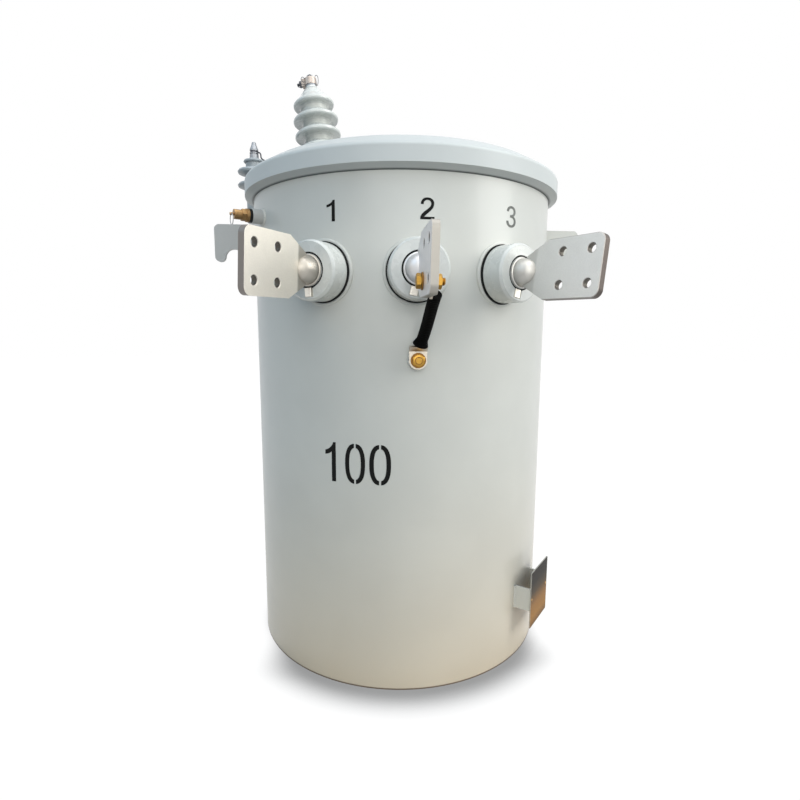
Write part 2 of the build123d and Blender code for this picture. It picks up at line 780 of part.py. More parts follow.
with BuildPart() as arrester_body:
    body_foot = arrester_foot + arrester_ferrule + 0.1
    outline = [(0, body_foot), (arrester_core, body_foot)]
    for height, tip in arrester_sheds:
        outline += [
            (arrester_core, height - 8),
            (tip - 5, height - 5.5),
            (tip - 1, height - 4),
            (tip, height - 0.5),
            (tip - 2.5, height + 3),
            (arrester_core, height + 8),
        ]
    outline += [
        (arrester_core, arrester_cap_height - 2),
        (arrester_cap_radius - 2, arrester_cap_height - 3),
        (arrester_cap_radius, arrester_cap_height - 1),
        (arrester_cap_radius - 1.5, arrester_cap_height + 2),
        (arrester_neck_radius + 2.5, arrester_neck_foot - 1.5),
        (arrester_neck_radius + 1.5, arrester_neck_foot),
        (0, arrester_neck_foot),
    ]
    with BuildSketch(Plane.XZ) as section:
        with BuildLine():
            Polyline(*outline, close=True)
        make_face()
    revolve(axis=Axis.Z)
save(arrester_at * arrester_body.part, "arrester_body")

with BuildPart() as arrester_terminal:
    with BuildSketch(Plane.XZ):
        with BuildLine():
            Polyline(
                (0, arrester_neck_foot + 0.1),
                (arrester_neck_radius, arrester_neck_foot + 0.1),
                (arrester_neck_radius, arrester_groove_height),
                (arrester_neck_radius - 1.5, arrester_groove_height + 0.4),
                (arrester_neck_radius - 1.5, arrester_groove_height + 1.9),
                (arrester_neck_radius, arrester_groove_height + 2.3),
                (arrester_neck_radius, arrester_eye_height),
                (arrester_bolt_radius, arrester_eye_height),
                (arrester_bolt_radius, arrester_eye_height + arrester_eye_sheet),
                (arrester_neck_radius - 0.4, arrester_eye_height + arrester_eye_sheet),
                (arrester_neck_radius - 0.4, arrester_eye_height + arrester_eye_sheet + 3),
                (arrester_bolt_radius, arrester_stud_top - 6),
                (4.2, arrester_stud_top - 1.6),
                (3, arrester_stud_top),
                (0, arrester_stud_top),
                close=True,
            )
        make_face()
    revolve(axis=Axis.Z)
save(arrester_at * arrester_terminal.part, "arrester_terminal")

# ---------------------------------------------------------------- jumper wire
eye_middle = (arrester_at * Location((0, 0, arrester_eye_height + arrester_eye_sheet / 2))).position
jumper_end = (connector_place * Location((0, -connector_radius + 1, clamp_height))).position
jumper_way = (connector_place * Location((0, -connector_radius - 9, clamp_height))).position - jumper_end
bushing_back = (hv_seat.location * Location((0, 0, hv_sheds[3]))).position
eye_edge = eye_middle + Vector(jumper_eye_radius * 0.9, 0, 0)
bushing_side = bushing_back + Vector(0, hv_shed_radii[0] + jumper_clear, 0)
span = bushing_back.X - eye_middle.X

with BuildPart() as jumper_wire:
    with BuildSketch(Plane(eye_middle).offset(0.1 - arrester_eye_sheet / 2)):
        Circle(jumper_eye_radius)
        Circle(arrester_bolt_radius + fit_gap / 2, mode=Mode.SUBTRACT)
    extrude(amount=arrester_eye_sheet - 0.2)
    with BuildLine() as jumper_line:
        Spline(
            eye_edge,
            eye_middle + Vector(1.25, 0, 0) * jumper_eye_radius,
            eye_middle + Vector(1.66, 0.13, -0.33) * jumper_eye_radius,
            eye_middle + Vector(1.78, 0.26, -1.18) * jumper_eye_radius,
            eye_middle + Vector(span * 0.19, jumper_bow * 0.17, -jumper_sag * 0.57),
            eye_middle + Vector(span * 0.39, jumper_bow * 0.62, -jumper_sag),
            eye_middle + Vector(span * 0.68, jumper_bow, -jumper_sag * 0.74),
            bushing_side + Vector(0, 2, -hv_shed_pitch * 0.8),
            bushing_side + Vector(0, 0, hv_shed_pitch),
            bushing_side + Vector(-4, -jumper_clear * 0.6, hv_shed_pitch * 2),
            jumper_end + jumper_way * 1.5,
            jumper_end + jumper_way * 0.7,
            jumper_end,
        )
    with BuildSketch(Plane(origin=eye_edge, z_dir=jumper_line.line % 0)):
        Circle(jumper_radius)
    sweep()
save(jumper_wire.part, "jumper_wire")

# ---------------------------------------------------------------- pressure relief valve
# Drawn on its own axis: Z is the distance from the tank's axis.
prv_place = facing(prv_angle, 0, prv_height).location
prv_end = tank_radius + prv_boss_length

with BuildPart() as prv_coupling:
    with BuildSketch(facing(prv_angle, tank_radius - 6, prv_height)):
        Circle(prv_boss_radius)
        Circle(prv_bore, mode=Mode.SUBTRACT)
    extrude(amount=6 + prv_boss_length)
    with BuildSketch():
        Circle(tank_radius + 0.1)
    extrude(amount=tank_height, mode=Mode.SUBTRACT)
save(prv_coupling.part, "prv_coupling")

with BuildPart() as prv_gasket:
    with BuildSketch(Plane.XY.offset(prv_end)):
        Circle(prv_boss_radius - 0.8)
        Circle(prv_bore, mode=Mode.SUBTRACT)
    extrude(amount=prv_gasket_sheet)
save(prv_place * prv_gasket.part, "prv_gasket")

valve_foot = prv_end + prv_gasket_sheet
pin_foot = prv_flange_sheet + prv_hex_height
ring_seat = valve_foot + pin_foot + prv_pin - 2.5

with BuildPart() as prv_valve:
    with Locations(prv_place * Location((0, 0, valve_foot))):
        Cylinder(prv_bore - 0.2, 14, align=(Align.CENTER, Align.CENTER, Align.MAX))
        Cylinder(prv_flange_radius, prv_flange_sheet, align=(Align.CENTER, Align.CENTER, Align.MIN))
    with BuildSketch(facing(prv_angle, valve_foot + prv_flange_sheet, prv_height)):
        RegularPolygon(prv_hex / 2, 6, major_radius=False)
    extrude(amount=prv_hex_height)
    with Locations(prv_place * Location((0, 0, valve_foot + pin_foot))):
        Cylinder(prv_cap_radius, prv_cap, align=(Align.CENTER, Align.CENTER, Align.MIN))
        Cylinder(prv_pin_radius, prv_pin, align=(Align.CENTER, Align.CENTER, Align.MIN))
    with Locations(prv_place * Location((0, 0, ring_seat))):
        Cylinder(prv_ring_wire + 0.7, 12, rotation=(0, 90, 0), mode=Mode.SUBTRACT)
save(prv_valve.part, "prv_valve")

with BuildPart() as prv_pull_ring:
    with Locations(prv_place * Location((0, -prv_ring_radius, ring_seat))):
        Torus(prv_ring_radius, prv_ring_wire)
save(prv_pull_ring.part, "prv_pull_ring")

# ---------------------------------------------------------------- lifting lugs
for name, angle in (("left", -90), ("right", 90)):
    lug_edge = tank_radius + lug_reach
    notch_out = lug_edge - lug_tip_width
    notch_in = notch_out - 2 * lug_notch_radius
    notch_top = lug_height - lug_notch_drop
    with BuildPart() as lifting_lug:
        with BuildSketch(upright(angle)) as hook:
            with BuildLine():
                Polyline(
                    (tank_radius - 6, lug_height),
                    (lug_edge, lug_height),
                    (lug_edge, lug_height - lug_depth + lug_tip_width / 2),
                )
                ThreePointArc(
                    (lug_edge, lug_height - lug_depth + lug_tip_width / 2),
                    (lug_edge - lug_tip_width / 2, lug_height - lug_depth),
                    (notch_out, lug_height - lug_depth + lug_tip_width / 2),
                )
                Line(
                    (notch_out, lug_height - lug_depth + lug_tip_width / 2),
                    (notch_out, notch_top - lug_notch_radius),
                )
                ThreePointArc(
                    (notch_out, notch_top - lug_notch_radius),
                    ((notch_out + notch_in) / 2, notch_top),
                    (notch_in, notch_top - lug_notch_radius),
                )
                Polyline(
                    (notch_in, notch_top - lug_notch_radius),
                    (tank_radius + 8, lug_height - lug_leg_depth),
                    (tank_radius - 6, lug_height - lug_leg_depth),
                    (tank_radius - 6, lug_height),
                )
            make_face()
            fillet(hook.vertices().sort_by(Axis.Y)[-2:].sort_by(Axis.X)[-1], 9)
        extrude(amount=lug_plate / 2, both=True)
        with BuildSketch():
            Circle(tank_radius + 0.1)
        extrude(amount=tank_height, mode=Mode.SUBTRACT)
    save(lifting_lug.part, f"lifting_lug_{name}")

# ---------------------------------------------------------------- hanger brackets
for name, middle in (("upper", hanger_upper), ("lower", hanger_lower)):
    with BuildPart() as hanger:
        with BuildSketch(Plane.XY.offset(middle - hanger_tall / 2)):
            with Locations((0, hanger_face - 60)):
                Rectangle(hanger_width, 120)
            with Locations((0, hanger_face - hanger_sheet - 60)):
                Rectangle(hanger_width - 2 * hanger_sheet, 120, mode=Mode.SUBTRACT)
        extrude(amount=hanger_tall)
        fillet(hanger.edges().filter_by(Axis.Z).sort_by(Axis.Y)[-2:], 10)
        with BuildSketch():
            Circle(tank_radius + 0.1)
        extrude(amount=tank_height, mode=Mode.SUBTRACT)
        with BuildSketch(Plane.XZ.offset(-hanger_face)):
            with Locations((0, middle)):
                SlotOverall(hanger_slot_length, 2 * hanger_slot_radius, rotation=90)
        extrude(amount=hanger_sheet * 2, mode=Mode.SUBTRACT)
    save(hanger.part, f"hanger_bracket_{name}")

# ---------------------------------------------------------------- nameplate
plate_back = tank_radius + plate_standoff
with BuildPart() as nameplate:
    with BuildSketch(facing(plate_angle, plate_back, plate_height)):
        RectangleRounded(plate_width, plate_tall, 3)
    extrude(amount=plate_sheet)
save(nameplate.part, "nameplate")

with BuildPart() as nameplate_bracket:
    for side in (-1, 1):
        edge = side * (plate_width / 2 - 2)
        with BuildSketch(facing(plate_angle, tank_radius - 12, plate_height)):
            with Locations((edge - side * plate_leg_sheet / 2, 0)):
                Rectangle(plate_leg_sheet, plate_leg_tall)
        extrude(amount=plate_standoff + 12 - 0.1)
        with BuildSketch(facing(plate_angle, plate_back - plate_leg_sheet, plate_height)):
            with Locations((edge - side * plate_foot / 2, 0)):
                Rectangle(plate_foot, plate_leg_tall)
        extrude(amount=plate_leg_sheet - 0.1)
    with BuildSketch():
        Circle(tank_radius + 0.1)
    extrude(amount=tank_height, mode=Mode.SUBTRACT)
save(nameplate_bracket.part, "nameplate_bracket")

# ---------------------------------------------------------------- tank ground pad
with BuildPart() as tank_ground_pad:
    with BuildSketch(facing(pad_angle, tank_radius - 5, pad_height)):
        Circle(pad_radius)
        Circle(pad_thread, mode=Mode.SUBTRACT)
    extrude(amount=5 + pad_length)
    with BuildSketch():
        Circle(tank_radius + 0.1)
    extrude(amount=tank_height, mode=Mode.SUBTRACT)
save(tank_ground_pad.part, "tank_ground_pad")

# ---------------------------------------------------------------- core and coils
core_loop = core_width / 2
window = core_loop - 2 * core_build

with BuildPart() as core_and_coils:
    with BuildSketch(Plane.XZ.offset(-core_depth / 2)):
        for side in (-1, 1):
            with Locations((side * core_loop / 2, bottom_sheet + core_tall / 2)):
                RectangleRounded(core_loop - 0.5, core_tall, 28)
                Rectangle(window, core_tall - 2 * core_build, mode=Mode.SUBTRACT)
    extrude(amount=core_depth)
    with BuildSketch(Plane.XY.offset(bottom_sheet + core_build + coil_gap)):
        RectangleRounded(2 * (core_loop - core_build) - 2 * coil_gap, coil_depth, 60)
    extrude(amount=core_tall - 2 * (core_build + coil_gap))
save(core_and_coils.part, "core_and_coils")
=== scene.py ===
"""Pole mounted distribution transformer: looks, studio and camera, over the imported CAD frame."""
from math import cos, degrees, pi, radians, sin

import bmesh
import bpy
from mathutils import Euler, Matrix, Vector
from mathutils.bvhtree import BVHTree
from mathutils.geometry import tessellate_polygon


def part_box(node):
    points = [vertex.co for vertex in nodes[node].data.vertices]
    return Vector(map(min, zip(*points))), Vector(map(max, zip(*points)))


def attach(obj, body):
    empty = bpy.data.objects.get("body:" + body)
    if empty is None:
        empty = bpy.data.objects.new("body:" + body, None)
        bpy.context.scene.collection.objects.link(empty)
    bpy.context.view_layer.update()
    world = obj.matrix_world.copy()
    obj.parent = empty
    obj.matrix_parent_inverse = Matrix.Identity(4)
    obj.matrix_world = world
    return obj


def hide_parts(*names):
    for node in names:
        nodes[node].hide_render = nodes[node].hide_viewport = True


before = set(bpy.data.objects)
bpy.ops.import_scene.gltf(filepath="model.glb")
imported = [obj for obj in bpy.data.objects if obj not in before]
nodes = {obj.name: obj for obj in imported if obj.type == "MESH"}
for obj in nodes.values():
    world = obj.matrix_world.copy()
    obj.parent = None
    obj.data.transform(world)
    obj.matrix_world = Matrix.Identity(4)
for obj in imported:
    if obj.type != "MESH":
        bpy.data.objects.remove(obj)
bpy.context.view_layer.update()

# ---------------------------------------------------------------- places and sizes, in metres
MM = 0.001
wall_past_bottom = 3.3 * MM
tank_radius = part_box("tank_bottom")[1].x + wall_past_bottom
shell_low, shell_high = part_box("tank_shell")
lug_low, lug_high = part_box("lifting_lug_right")
boss_low, boss_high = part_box("ground_boss")
ground_height = (boss_low.z + boss_high.z) / 2
# Angles round the tank are in degrees, from the front toward +X.
ground_angle, seam_angle = 0.4, 158.0
valve_angle, earth_pad_angle, plate_angle, arrester_angle = -62.0, -150.0, 52.0, -116.4
hv_angle, hv_lean = -129.0, 10.0
lv_angles = (-30.0, 0.0, 30.0)
lv_low, lv_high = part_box("lv_insulator_2")
lv_height = (lv_low.z + lv_high.z) / 2
lv_face = -lv_low.y


def around(angle, radius, height):
    """Point at that angle round the tank, in degrees from the front toward +X."""
    turn = radians(angle)
    return Vector((radius * sin(turn), -radius * cos(turn), height))


def outward(angle):
    """Unit vector straight out of the tank at that angle."""
    return around(angle, 1.0, 0.0)


def facing(angle, radius, height, twist=0.0):
    """Placement whose Z axis points straight out of the tank and whose Y axis points up."""
    side = Vector((cos(radians(angle)), sin(radians(angle)), 0.0))
    turn = Matrix((side, Vector((0, 0, 1)), outward(angle))).transposed().to_4x4()
    return Matrix.Translation(around(angle, radius, height)) @ turn @ Matrix.Rotation(radians(twist), 4, "Z")


def tipped(place):
    """The same placement with its Z axis laid along its own X axis."""
    return place @ Matrix.Rotation(radians(90), 4, "Y")


# ---------------------------------------------------------------- materials
class Term:
    """A shader socket that takes part in arithmetic and adds Math nodes as it goes."""

    def __init__(self, graph, socket):
        self.graph = graph
        self.socket = socket

    def math(self, operation, *others, clamp=False):
        """One Math node on this term and the others."""
        return self.graph.node("Math", {"operation": operation, "use_clamp": clamp}, self, *others)

    def __add__(self, other):
        return self.math("ADD", other)

    __radd__ = __add__

    def __sub__(self, other):
        return self.math("SUBTRACT", other)

    def __rsub__(self, other):
        return self.graph.node("Math", {"operation": "SUBTRACT"}, other, self)

    def __mul__(self, other):
        return self.math("MULTIPLY", other)

    __rmul__ = __mul__

    def __truediv__(self, other):
        return self.math("DIVIDE", other)

    def __rtruediv__(self, other):
        return self.graph.node("Math", {"operation": "DIVIDE"}, other, self)

    def __pow__(self, other):
        return self.math("POWER", other)

    def smooth(self, low, high):
        """0 below low, 1 above high, with a soft step between."""
        return self.graph.node("MapRange", {"interpolation_type": "SMOOTHSTEP"}, self, low, high, 0.0, 1.0)


class Graph:
    """A shader tree that grows by one node at a time."""

    def __init__(self, tree):
        self.tree = tree

    def node(self, kind, settings, *inputs, out=0, **named):
        """Add a shader node, set it up, feed its sockets and return one of its outputs as a term."""
        made = self.tree.nodes.new("ShaderNode" + kind)
        for key, value in settings.items():
            if key == "stops":
                ramp = made.color_ramp
                while len(ramp.elements) < len(value):
                    ramp.elements.new(0.5)
                for element, (position, color) in zip(ramp.elements, value):
                    element.position = position
                    element.color = (*color, 1.0)
            else:
                setattr(made, key, value)
        pairs = list(zip(made.inputs, inputs))
        pairs += [(made.inputs[key], value) for key, value in named.items()]
        for socket, value in pairs:
            if isinstance(value, Term):
                self.tree.links.new(value.socket, socket)
            elif value is not None:
                socket.default_value = value
        return Term(self, made.outputs[out])

    def white_rays(self):
        """1 for rays from the camera, off gloss or through glass, which see white; 0 for the others."""
        seen = self.node("LightPath", {}, out="Is Camera Ray")
        for kind in ("Is Glossy Ray", "Is Transmission Ray"):
            seen = seen.math("MAXIMUM", self.node("LightPath", {}, out=kind))
        return seen


class Sheet(Graph):
    """One procedural material: its tree, its Principled shader and the terms that feed it."""

    def __init__(self, name, color, roughness, metallic=0.0, coat=0.0, coat_roughness=0.1, specular=0.5):
        self.material = bpy.data.materials.new(name)
        self.material.use_nodes = True
        self.material.diffuse_color = (*color, 1.0)
        super().__init__(self.material.node_tree)
        self.shader = self.tree.nodes["Principled BSDF"]
        self.put("Base Color", (*color, 1.0))
        self.put("Roughness", roughness)
        self.put("Metallic", metallic)
        self.put("Coat Weight", coat)
        self.put("Coat Roughness", coat_roughness)
        self.put("Specular IOR Level", specular)
        self.place = self.node("TexCoord", {}, out="Object")

    def put(self, name, value):
        """Set a shader socket to a constant, or link a term to it."""
        if isinstance(value, Term):
            self.tree.links.new(value.socket, self.shader.inputs[name])
        else:
            self.shader.inputs[name].default_value = value

    def vector(self, operation, first, second, out=0):
        """Vector Math on a term and a vector."""
        return self.node("VectorMath", {"operation": operation}, first, tuple(second), out=out)

    def noise(self, scale, detail=3.0, roughness=0.5, stretch=None, distortion=0.0):
        """Noise over the object's own coordinates, about 0 to 1. stretch scales the three axes."""
        place = self.vector("MULTIPLY", self.place, stretch) if stretch else self.place
        named = {"Vector": place, "Scale": scale, "Detail": detail, "Roughness": roughness}
        return self.node("TexNoise", {}, Distortion=distortion, **named)

    def axis(self, index):
        """X, Y or Z of the object's own coordinates, in metres."""
        return self.node("SeparateXYZ", {}, self.place, out=index)

    def along(self, origin, direction):
        """Distance in metres along a direction from a point."""
        moved = self.vector("SUBTRACT", self.place, origin)
        return self.vector("DOT_PRODUCT", moved, direction, out="Value")

    def off_axis(self, origin, direction):
        """Distance in metres from the line through a point along a direction."""
        crossed = self.vector("CROSS_PRODUCT", self.vector("SUBTRACT", self.place, origin), direction)
        return self.node("VectorMath", {"operation": "LENGTH"}, crossed, out="Value")

    def looks(self, direction):
        """How far the surface faces that way, -1 to 1."""
        normal = self.node("NewGeometry", {}, out="Normal")
        return self.vector("DOT_PRODUCT", normal, direction, out="Value")

    def facing_down(self):
        """0 on what faces up, 1 on what faces down, with a long soft step between."""
        return 1.0 - self.looks((0, 0, 1)).smooth(-1.0, 0.7)

    def blend(self, mask, first, second):
        """Colour that goes from first to second as mask goes from 0 to 1."""
        wide = [(*c, 1.0) if isinstance(c, tuple) else c for c in (first, second)]
        unused = [None] * 5
        return self.node("Mix", {"data_type": "RGBA"}, mask, *unused, *wide, out=2)

    def bump(self, height, strength, distance):
        """Feed the normal from a height in units of distance metres."""
        named = {"Strength": strength, "Distance": distance, "Height": height}
        self.put("Normal", self.node("Bump", {}, out="Normal", **named))


def srgb(*values):
    """Linear colour from 0 to 255 display values."""
    scaled = [value / 255 for value in values]
    return tuple(v / 12.92 if v <= 0.04045 else ((v + 0.055) / 1.055) ** 2.4 for v in scaled)


def shade(color, factor):
    """The colour, darker or lighter by a factor."""
    return tuple(min(1.0, channel * factor) for channel in color)


def painted(name, color, dust_and_bounce=0.0, roughness=0.36, coat=0.25, specular=0.35, form=0.0):
    """Gloss enamel sprayed on steel: orange peel, long soft waves and faint mottling.

    A warm film near the ground, as thick as asked, stands partly for settled dirt and partly for
    painted warm bounce light from the floor, over a darker brown band along the foot. form is how
    dark the paint gets where it faces down, as painted shade; with it the top is darker too, also
    painted shade, and the gap at the tank wall nearly black, a painted shadow.
    """
    sheet = Sheet(name, color, roughness, coat=coat, coat_roughness=0.16, specular=specular)
    clouds = sheet.noise(7.0, detail=4.0)
    tint = sheet.blend(clouds.smooth(0.3, 0.7), shade(color, 0.97), shade(color, 1.03))
    specks = sheet.noise(420.0, detail=2.0).smooth(0.66, 0.76)
    tint = sheet.blend(specks * 0.14, tint, shade(color, 0.82))
    if form:
        # Painted shade: darker where it faces down and on top, and a painted shadow, nearly black, in the
        # gap at the tank wall.
        tint = sheet.blend(sheet.facing_down() * form, tint, shade(color, 0.2))
        rise = sheet.looks((0, 0, 1))
        tint = sheet.blend(rise.smooth(0.3, 0.8) * 0.8, tint, shade(color, 0.78))
        from_wall = sheet.off_axis((0, 0, 0), (0, 0, 1)) - tank_radius
        gap = (1.0 - from_wall.smooth(1.0 * MM, 5.0 * MM)) * (1.0 - rise.smooth(-0.9, -0.3))
        tint = sheet.blend(gap * 0.85, tint, srgb(44, 52, 48))
    if dust_and_bounce:
        # A warm film near the ground, partly settled dirt and partly painted warm bounce light from the
        # floor; under it a darker brown band along the foot.
        height = sheet.axis(2)
        film_top, foot_low, foot_high = 420.0 * MM, 1.2 * MM, 3.4 * MM
        film = (1.0 - height / film_top).math("MULTIPLY", 1.0, clamp=True) ** 1.5
        film = film * (0.7 + sheet.noise(5.0, detail=5.0, stretch=(1, 1, 0.4)) * 0.5) * dust_and_bounce
        tint = sheet.blend(film, tint, srgb(184, 160, 124))
        foot = 1.0 - height.smooth(foot_low, foot_high)
        tint = sheet.blend(foot * 0.9, tint, srgb(84, 66, 50))
        sheet.put("Coat Weight", coat - film * (coat * 0.5))
    sheet.put("Base Color", tint)
    sheet.put("Roughness", roughness - 0.05 + sheet.noise(30.0, detail=3.0) * 0.12)
    peel = sheet.noise(520.0, detail=2.0, roughness=0.4) * 0.16 + sheet.noise(9.0, detail=1.0) * 2.2
    sheet.bump(peel, 0.35, 0.0006)
    return sheet.material


def glazed(name, color, origin=None, direction=None, ring_from=None, shine=0.8, form=0.0):
    """Cast and glazed insulator. With an axis given, its face carries fine turned rings."""
    sheet = Sheet(name, color, 0.22, coat=shine, coat_roughness=0.06)
    clouds = sheet.noise(26.0, detail=4.0)
    tint = sheet.blend(clouds.smooth(0.3, 0.75), shade(color, 0.95), shade(color, 1.03))
    pits = sheet.noise(900.0, detail=1.0).smooth(0.72, 0.8)
    tint = sheet.blend(pits * 0.2, tint, shade(color, 0.6))
    # Painted shade: darker where it faces down, as much as form asks.
    tint = sheet.blend(sheet.facing_down() * form, tint, shade(color, 0.3))
    height = sheet.noise(320.0, detail=2.0) * 0.25 + sheet.noise(22.0, detail=1.0) * 1.2
    if origin is not None:
        ring_pitch = 1.3 * MM
        rings = (sheet.off_axis(origin, direction) * (2 * pi / ring_pitch)).math("SINE")
        near = sheet.along(origin, direction).smooth(ring_from - 1.2 * MM, ring_from - 0.4 * MM)
        height = height + rings * near * 0.28
        tint = sheet.blend(rings.smooth(0.2, 1.0) * near * 0.16, tint, shade(color, 0.78))
    sheet.put("Base Color", tint)
    sheet.put("Roughness", 0.2 + sheet.noise(60.0) * 0.14)
    sheet.bump(height, 0.35, 0.0005)
    return sheet.material


def rubber(name, color, ribs=None, specular=0.2):
    """Moulded rubber: matt, faintly mottled, with fine ribs across a direction where one is given."""
    sheet = Sheet(name, color, 0.6, specular=specular)
    grain = sheet.noise(700.0, detail=3.0)
    tint = sheet.blend(sheet.noise(60.0).smooth(0.35, 0.75), color, shade(color, 1.5))
    height = grain * 0.3
    if ribs:
        origin, direction, pitch = ribs
        waves = (sheet.along(origin, direction) * (2 * pi / pitch)).math("SINE")
        height = height + waves * 0.9
        tint = sheet.blend(waves.smooth(-0.2, 1.0) * 0.4, tint, shade(color, 2.6))
    sheet.put("Base Color", tint)
    sheet.put("Roughness", 0.5 + grain * 0.25)
    sheet.bump(height, 0.6, 0.0004)
    return sheet.material


def metal(name, color, roughness, brush=None, grain=0.3, tarnish=None, form=0.3):
    """Bare metal: brushed or cast, with tarnish in its clouds and painted shade on what faces down."""
    sheet = Sheet(name, color, roughness, metallic=1.0)
    fine = sheet.noise(420.0 if brush else 900.0, detail=3.0, stretch=brush)
    clouds = sheet.noise(45.0, detail=4.0, distortion=0.4)
    tint = sheet.blend(fine.smooth(0.25, 0.8), shade(color, 0.9), shade(color, 1.08))
    if tarnish:
        tint = sheet.blend(clouds.smooth(0.5, 0.78) * 0.55, tint, tarnish)
    # Painted shade: darker where it faces down, as much as form asks.
    tint = sheet.blend(sheet.facing_down() * form, tint, shade(color, 0.3))
    sheet.put("Base Color", tint)
    sheet.put("Roughness", roughness - 0.07 + fine * 0.1 + clouds * 0.08)
    sheet.bump(fine * grain + clouds * 0.5, 0.4, 0.0003)
    return sheet.material


paint = srgb(207, 207, 200)
tank_paint = painted("tank_enamel", paint, dust_and_bounce=0.44)
fitting_paint = painted("fitting_enamel", shade(paint, 0.97))
# A darker copy of the fitting paint: painted shade for the fittings that stand out of the light.
shaded_paint = painted("side_fitting_enamel", srgb(184, 184, 181), roughness=0.4, coat=0.1)
cover_paint = painted(
    "cover_enamel", srgb(210, 213, 210), roughness=0.42, coat=0.05, specular=0.15, form=0.16
)
gasket_black = rubber("gasket_rubber_black", srgb(20, 21, 21))
hv_glaze = glazed("hv_glaze_grey", srgb(211, 213, 207), form=0.3)
tin_satin = metal("tinned_casting", srgb(230, 226, 217), 0.42, grain=0.7)
tin_lug = metal("tinned_lug", srgb(210, 202, 188), 0.42, grain=0.6, form=0.6)
brass_turned = metal(
    "turned_brass", srgb(190, 148, 70), 0.32, grain=0.5, tarnish=srgb(116, 86, 42), form=0.75
)
# A darker brass for the washers: partly tarnish and partly painted shade where they sit.
brass_dark = metal("dark_brass", srgb(146, 108, 58), 0.4, grain=0.6, tarnish=srgb(84, 60, 32), form=0.6)
brass_dull = metal("dull_brass", srgb(176, 142, 98), 0.4, grain=0.6, tarnish=srgb(84, 62, 42), form=0.85)
dark_steel = metal("dark_steel", srgb(92, 94, 100), 0.36, grain=0.5, tarnish=srgb(40, 42, 46))
wire_dull = metal("dull_wire", srgb(84, 86, 92), 0.4, grain=0.4)
clamp_bronze = metal(
    "clamp_bronze", srgb(188, 178, 170), 0.42, grain=0.8, tarnish=srgb(104, 96, 98), form=0.7
)
zinc_weathered = metal(
    "weathered_zinc", srgb(158, 162, 167), 0.42, grain=0.6, tarnish=srgb(96, 100, 106), form=0.7
)
zinc = metal("zinc_plate", srgb(178, 180, 182), 0.38, grain=0.5, tarnish=srgb(122, 126, 132))
core_metal = metal("core_laminations", srgb(120, 108, 98), 0.55, brush=(0.4, 6.0, 0.4), grain=0.8)


def polymer(name, color):
    """Moulded polymer housing: soft sheen, lighter and bluer on its upper faces."""
    sheet = Sheet(name, color, 0.42, coat=0.25, coat_roughness=0.25)
    grain = sheet.noise(500.0, detail=3.0)
    lift = sheet.looks((0, 0, 1))
    tint = sheet.blend(sheet.noise(40.0, detail=4.0).smooth(0.3, 0.8), color, shade(color, 1.25))
    tint = sheet.blend(lift.smooth(0.1, 0.9) * 0.35, tint, srgb(176, 184, 188))
    sheet.put("Base Color", tint)
    sheet.put("Roughness", 0.36 + grain * 0.16)
    sheet.bump(grain * 0.3, 0.4, 0.0003)
    return sheet.material


arrester_grey = polymer("arrester_polymer_grey", srgb(149, 155, 157))


def plate_metal(name):
    """Polished plate: a painted reflection, warm brown low down and dark near the top, fine vertical lines
    and a bright sheared edge.
    """
    sheet = Sheet(name, srgb(70, 60, 50), 0.34)
    sheet.put("IOR", 1.12)
    low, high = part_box("nameplate")
    middle = (low + high) / 2
    half_wide, half_high, rim = 41.4 * MM, 49.9 * MM, 0.5 * MM
    side = (cos(radians(plate_angle)), sin(radians(plate_angle)), 0.0)
    rise = (sheet.axis(2) - low.z) / (high.z - low.z)
    lines = sheet.noise(260.0, detail=2.0, stretch=(6.0, 6.0, 0.15))
    # Painted reflection: warm brown at the foot of the plate, darkening to near black at its top.
    painted_reflection = (
        (0.0, srgb(108, 74, 32)), (0.16, srgb(152, 108, 46)), (0.36, srgb(142, 100, 48)),
        (0.6, srgb(66, 54, 38)), (0.78, srgb(26, 24, 20)), (1.0, srgb(14, 13, 12)),
    )
    tint = sheet.node("ValToRGB", {"stops": painted_reflection}, rise)
    tint = sheet.blend(lines.smooth(0.4, 0.8) * 0.14, tint, srgb(128, 104, 68))
    aside = sheet.along(middle, side).math("ABSOLUTE")
    above = (sheet.axis(2) - middle.z).math("ABSOLUTE")
    edge = aside.smooth(half_wide - rim, half_wide)
    edge = edge.math("MAXIMUM", above.smooth(half_high - rim, half_high))
    tint = sheet.blend(edge * 0.75, tint, srgb(190, 188, 180))
    sheet.put("Base Color", tint)
    sheet.put("Roughness", 0.26 + lines * 0.14)
    sheet.bump(lines * 0.3, 0.3, 0.0002)
    return sheet.material


plate_dark = plate_metal("nameplate_polished")


def stencil(name, color, worn=0.0):
    """Stencil paint: matt, slightly uneven, and worn through to the enamel where asked."""
    sheet = Sheet(name, color, 0.6, specular=0.12)
    mottled = sheet.noise(180.0, detail=4.0, roughness=0.6)
    tint = sheet.blend(mottled.smooth(0.35, 0.75), color, shade(color, 1.35))
    if worn:
        gone = sheet.noise(240.0, detail=5.0, roughness=0.7).smooth(0.62 - worn, 0.78 - worn * 0.5)
        tint = sheet.blend(gone * (0.45 + worn), tint, shade(paint, 0.9))
    sheet.put("Base Color", tint)
    sheet.put("Roughness", 0.45 + mottled * 0.2)
    sheet.bump(mottled * 0.3, 0.3, 0.0002)
    return sheet.material


stencil_black = stencil("stencil_black", srgb(7, 8, 7))
stencil_worn = stencil("stencil_worn", srgb(112, 113, 108), worn=0.08)

# The pad of each spade is twisted on its stud, in degrees. Its four holes stand on a square.
spade_twists = (3.5, 1.0, 8.0)
spade_tip = -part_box("lv_terminal_2")[0].y
spade_hub_end = spade_tip - 105.0 * MM
hole_pitch, hole_radius, hole_edge = 44.45 * MM, 6.0 * MM, 18.0 * MM
hole_middle = spade_tip - hole_edge - hole_pitch / 2
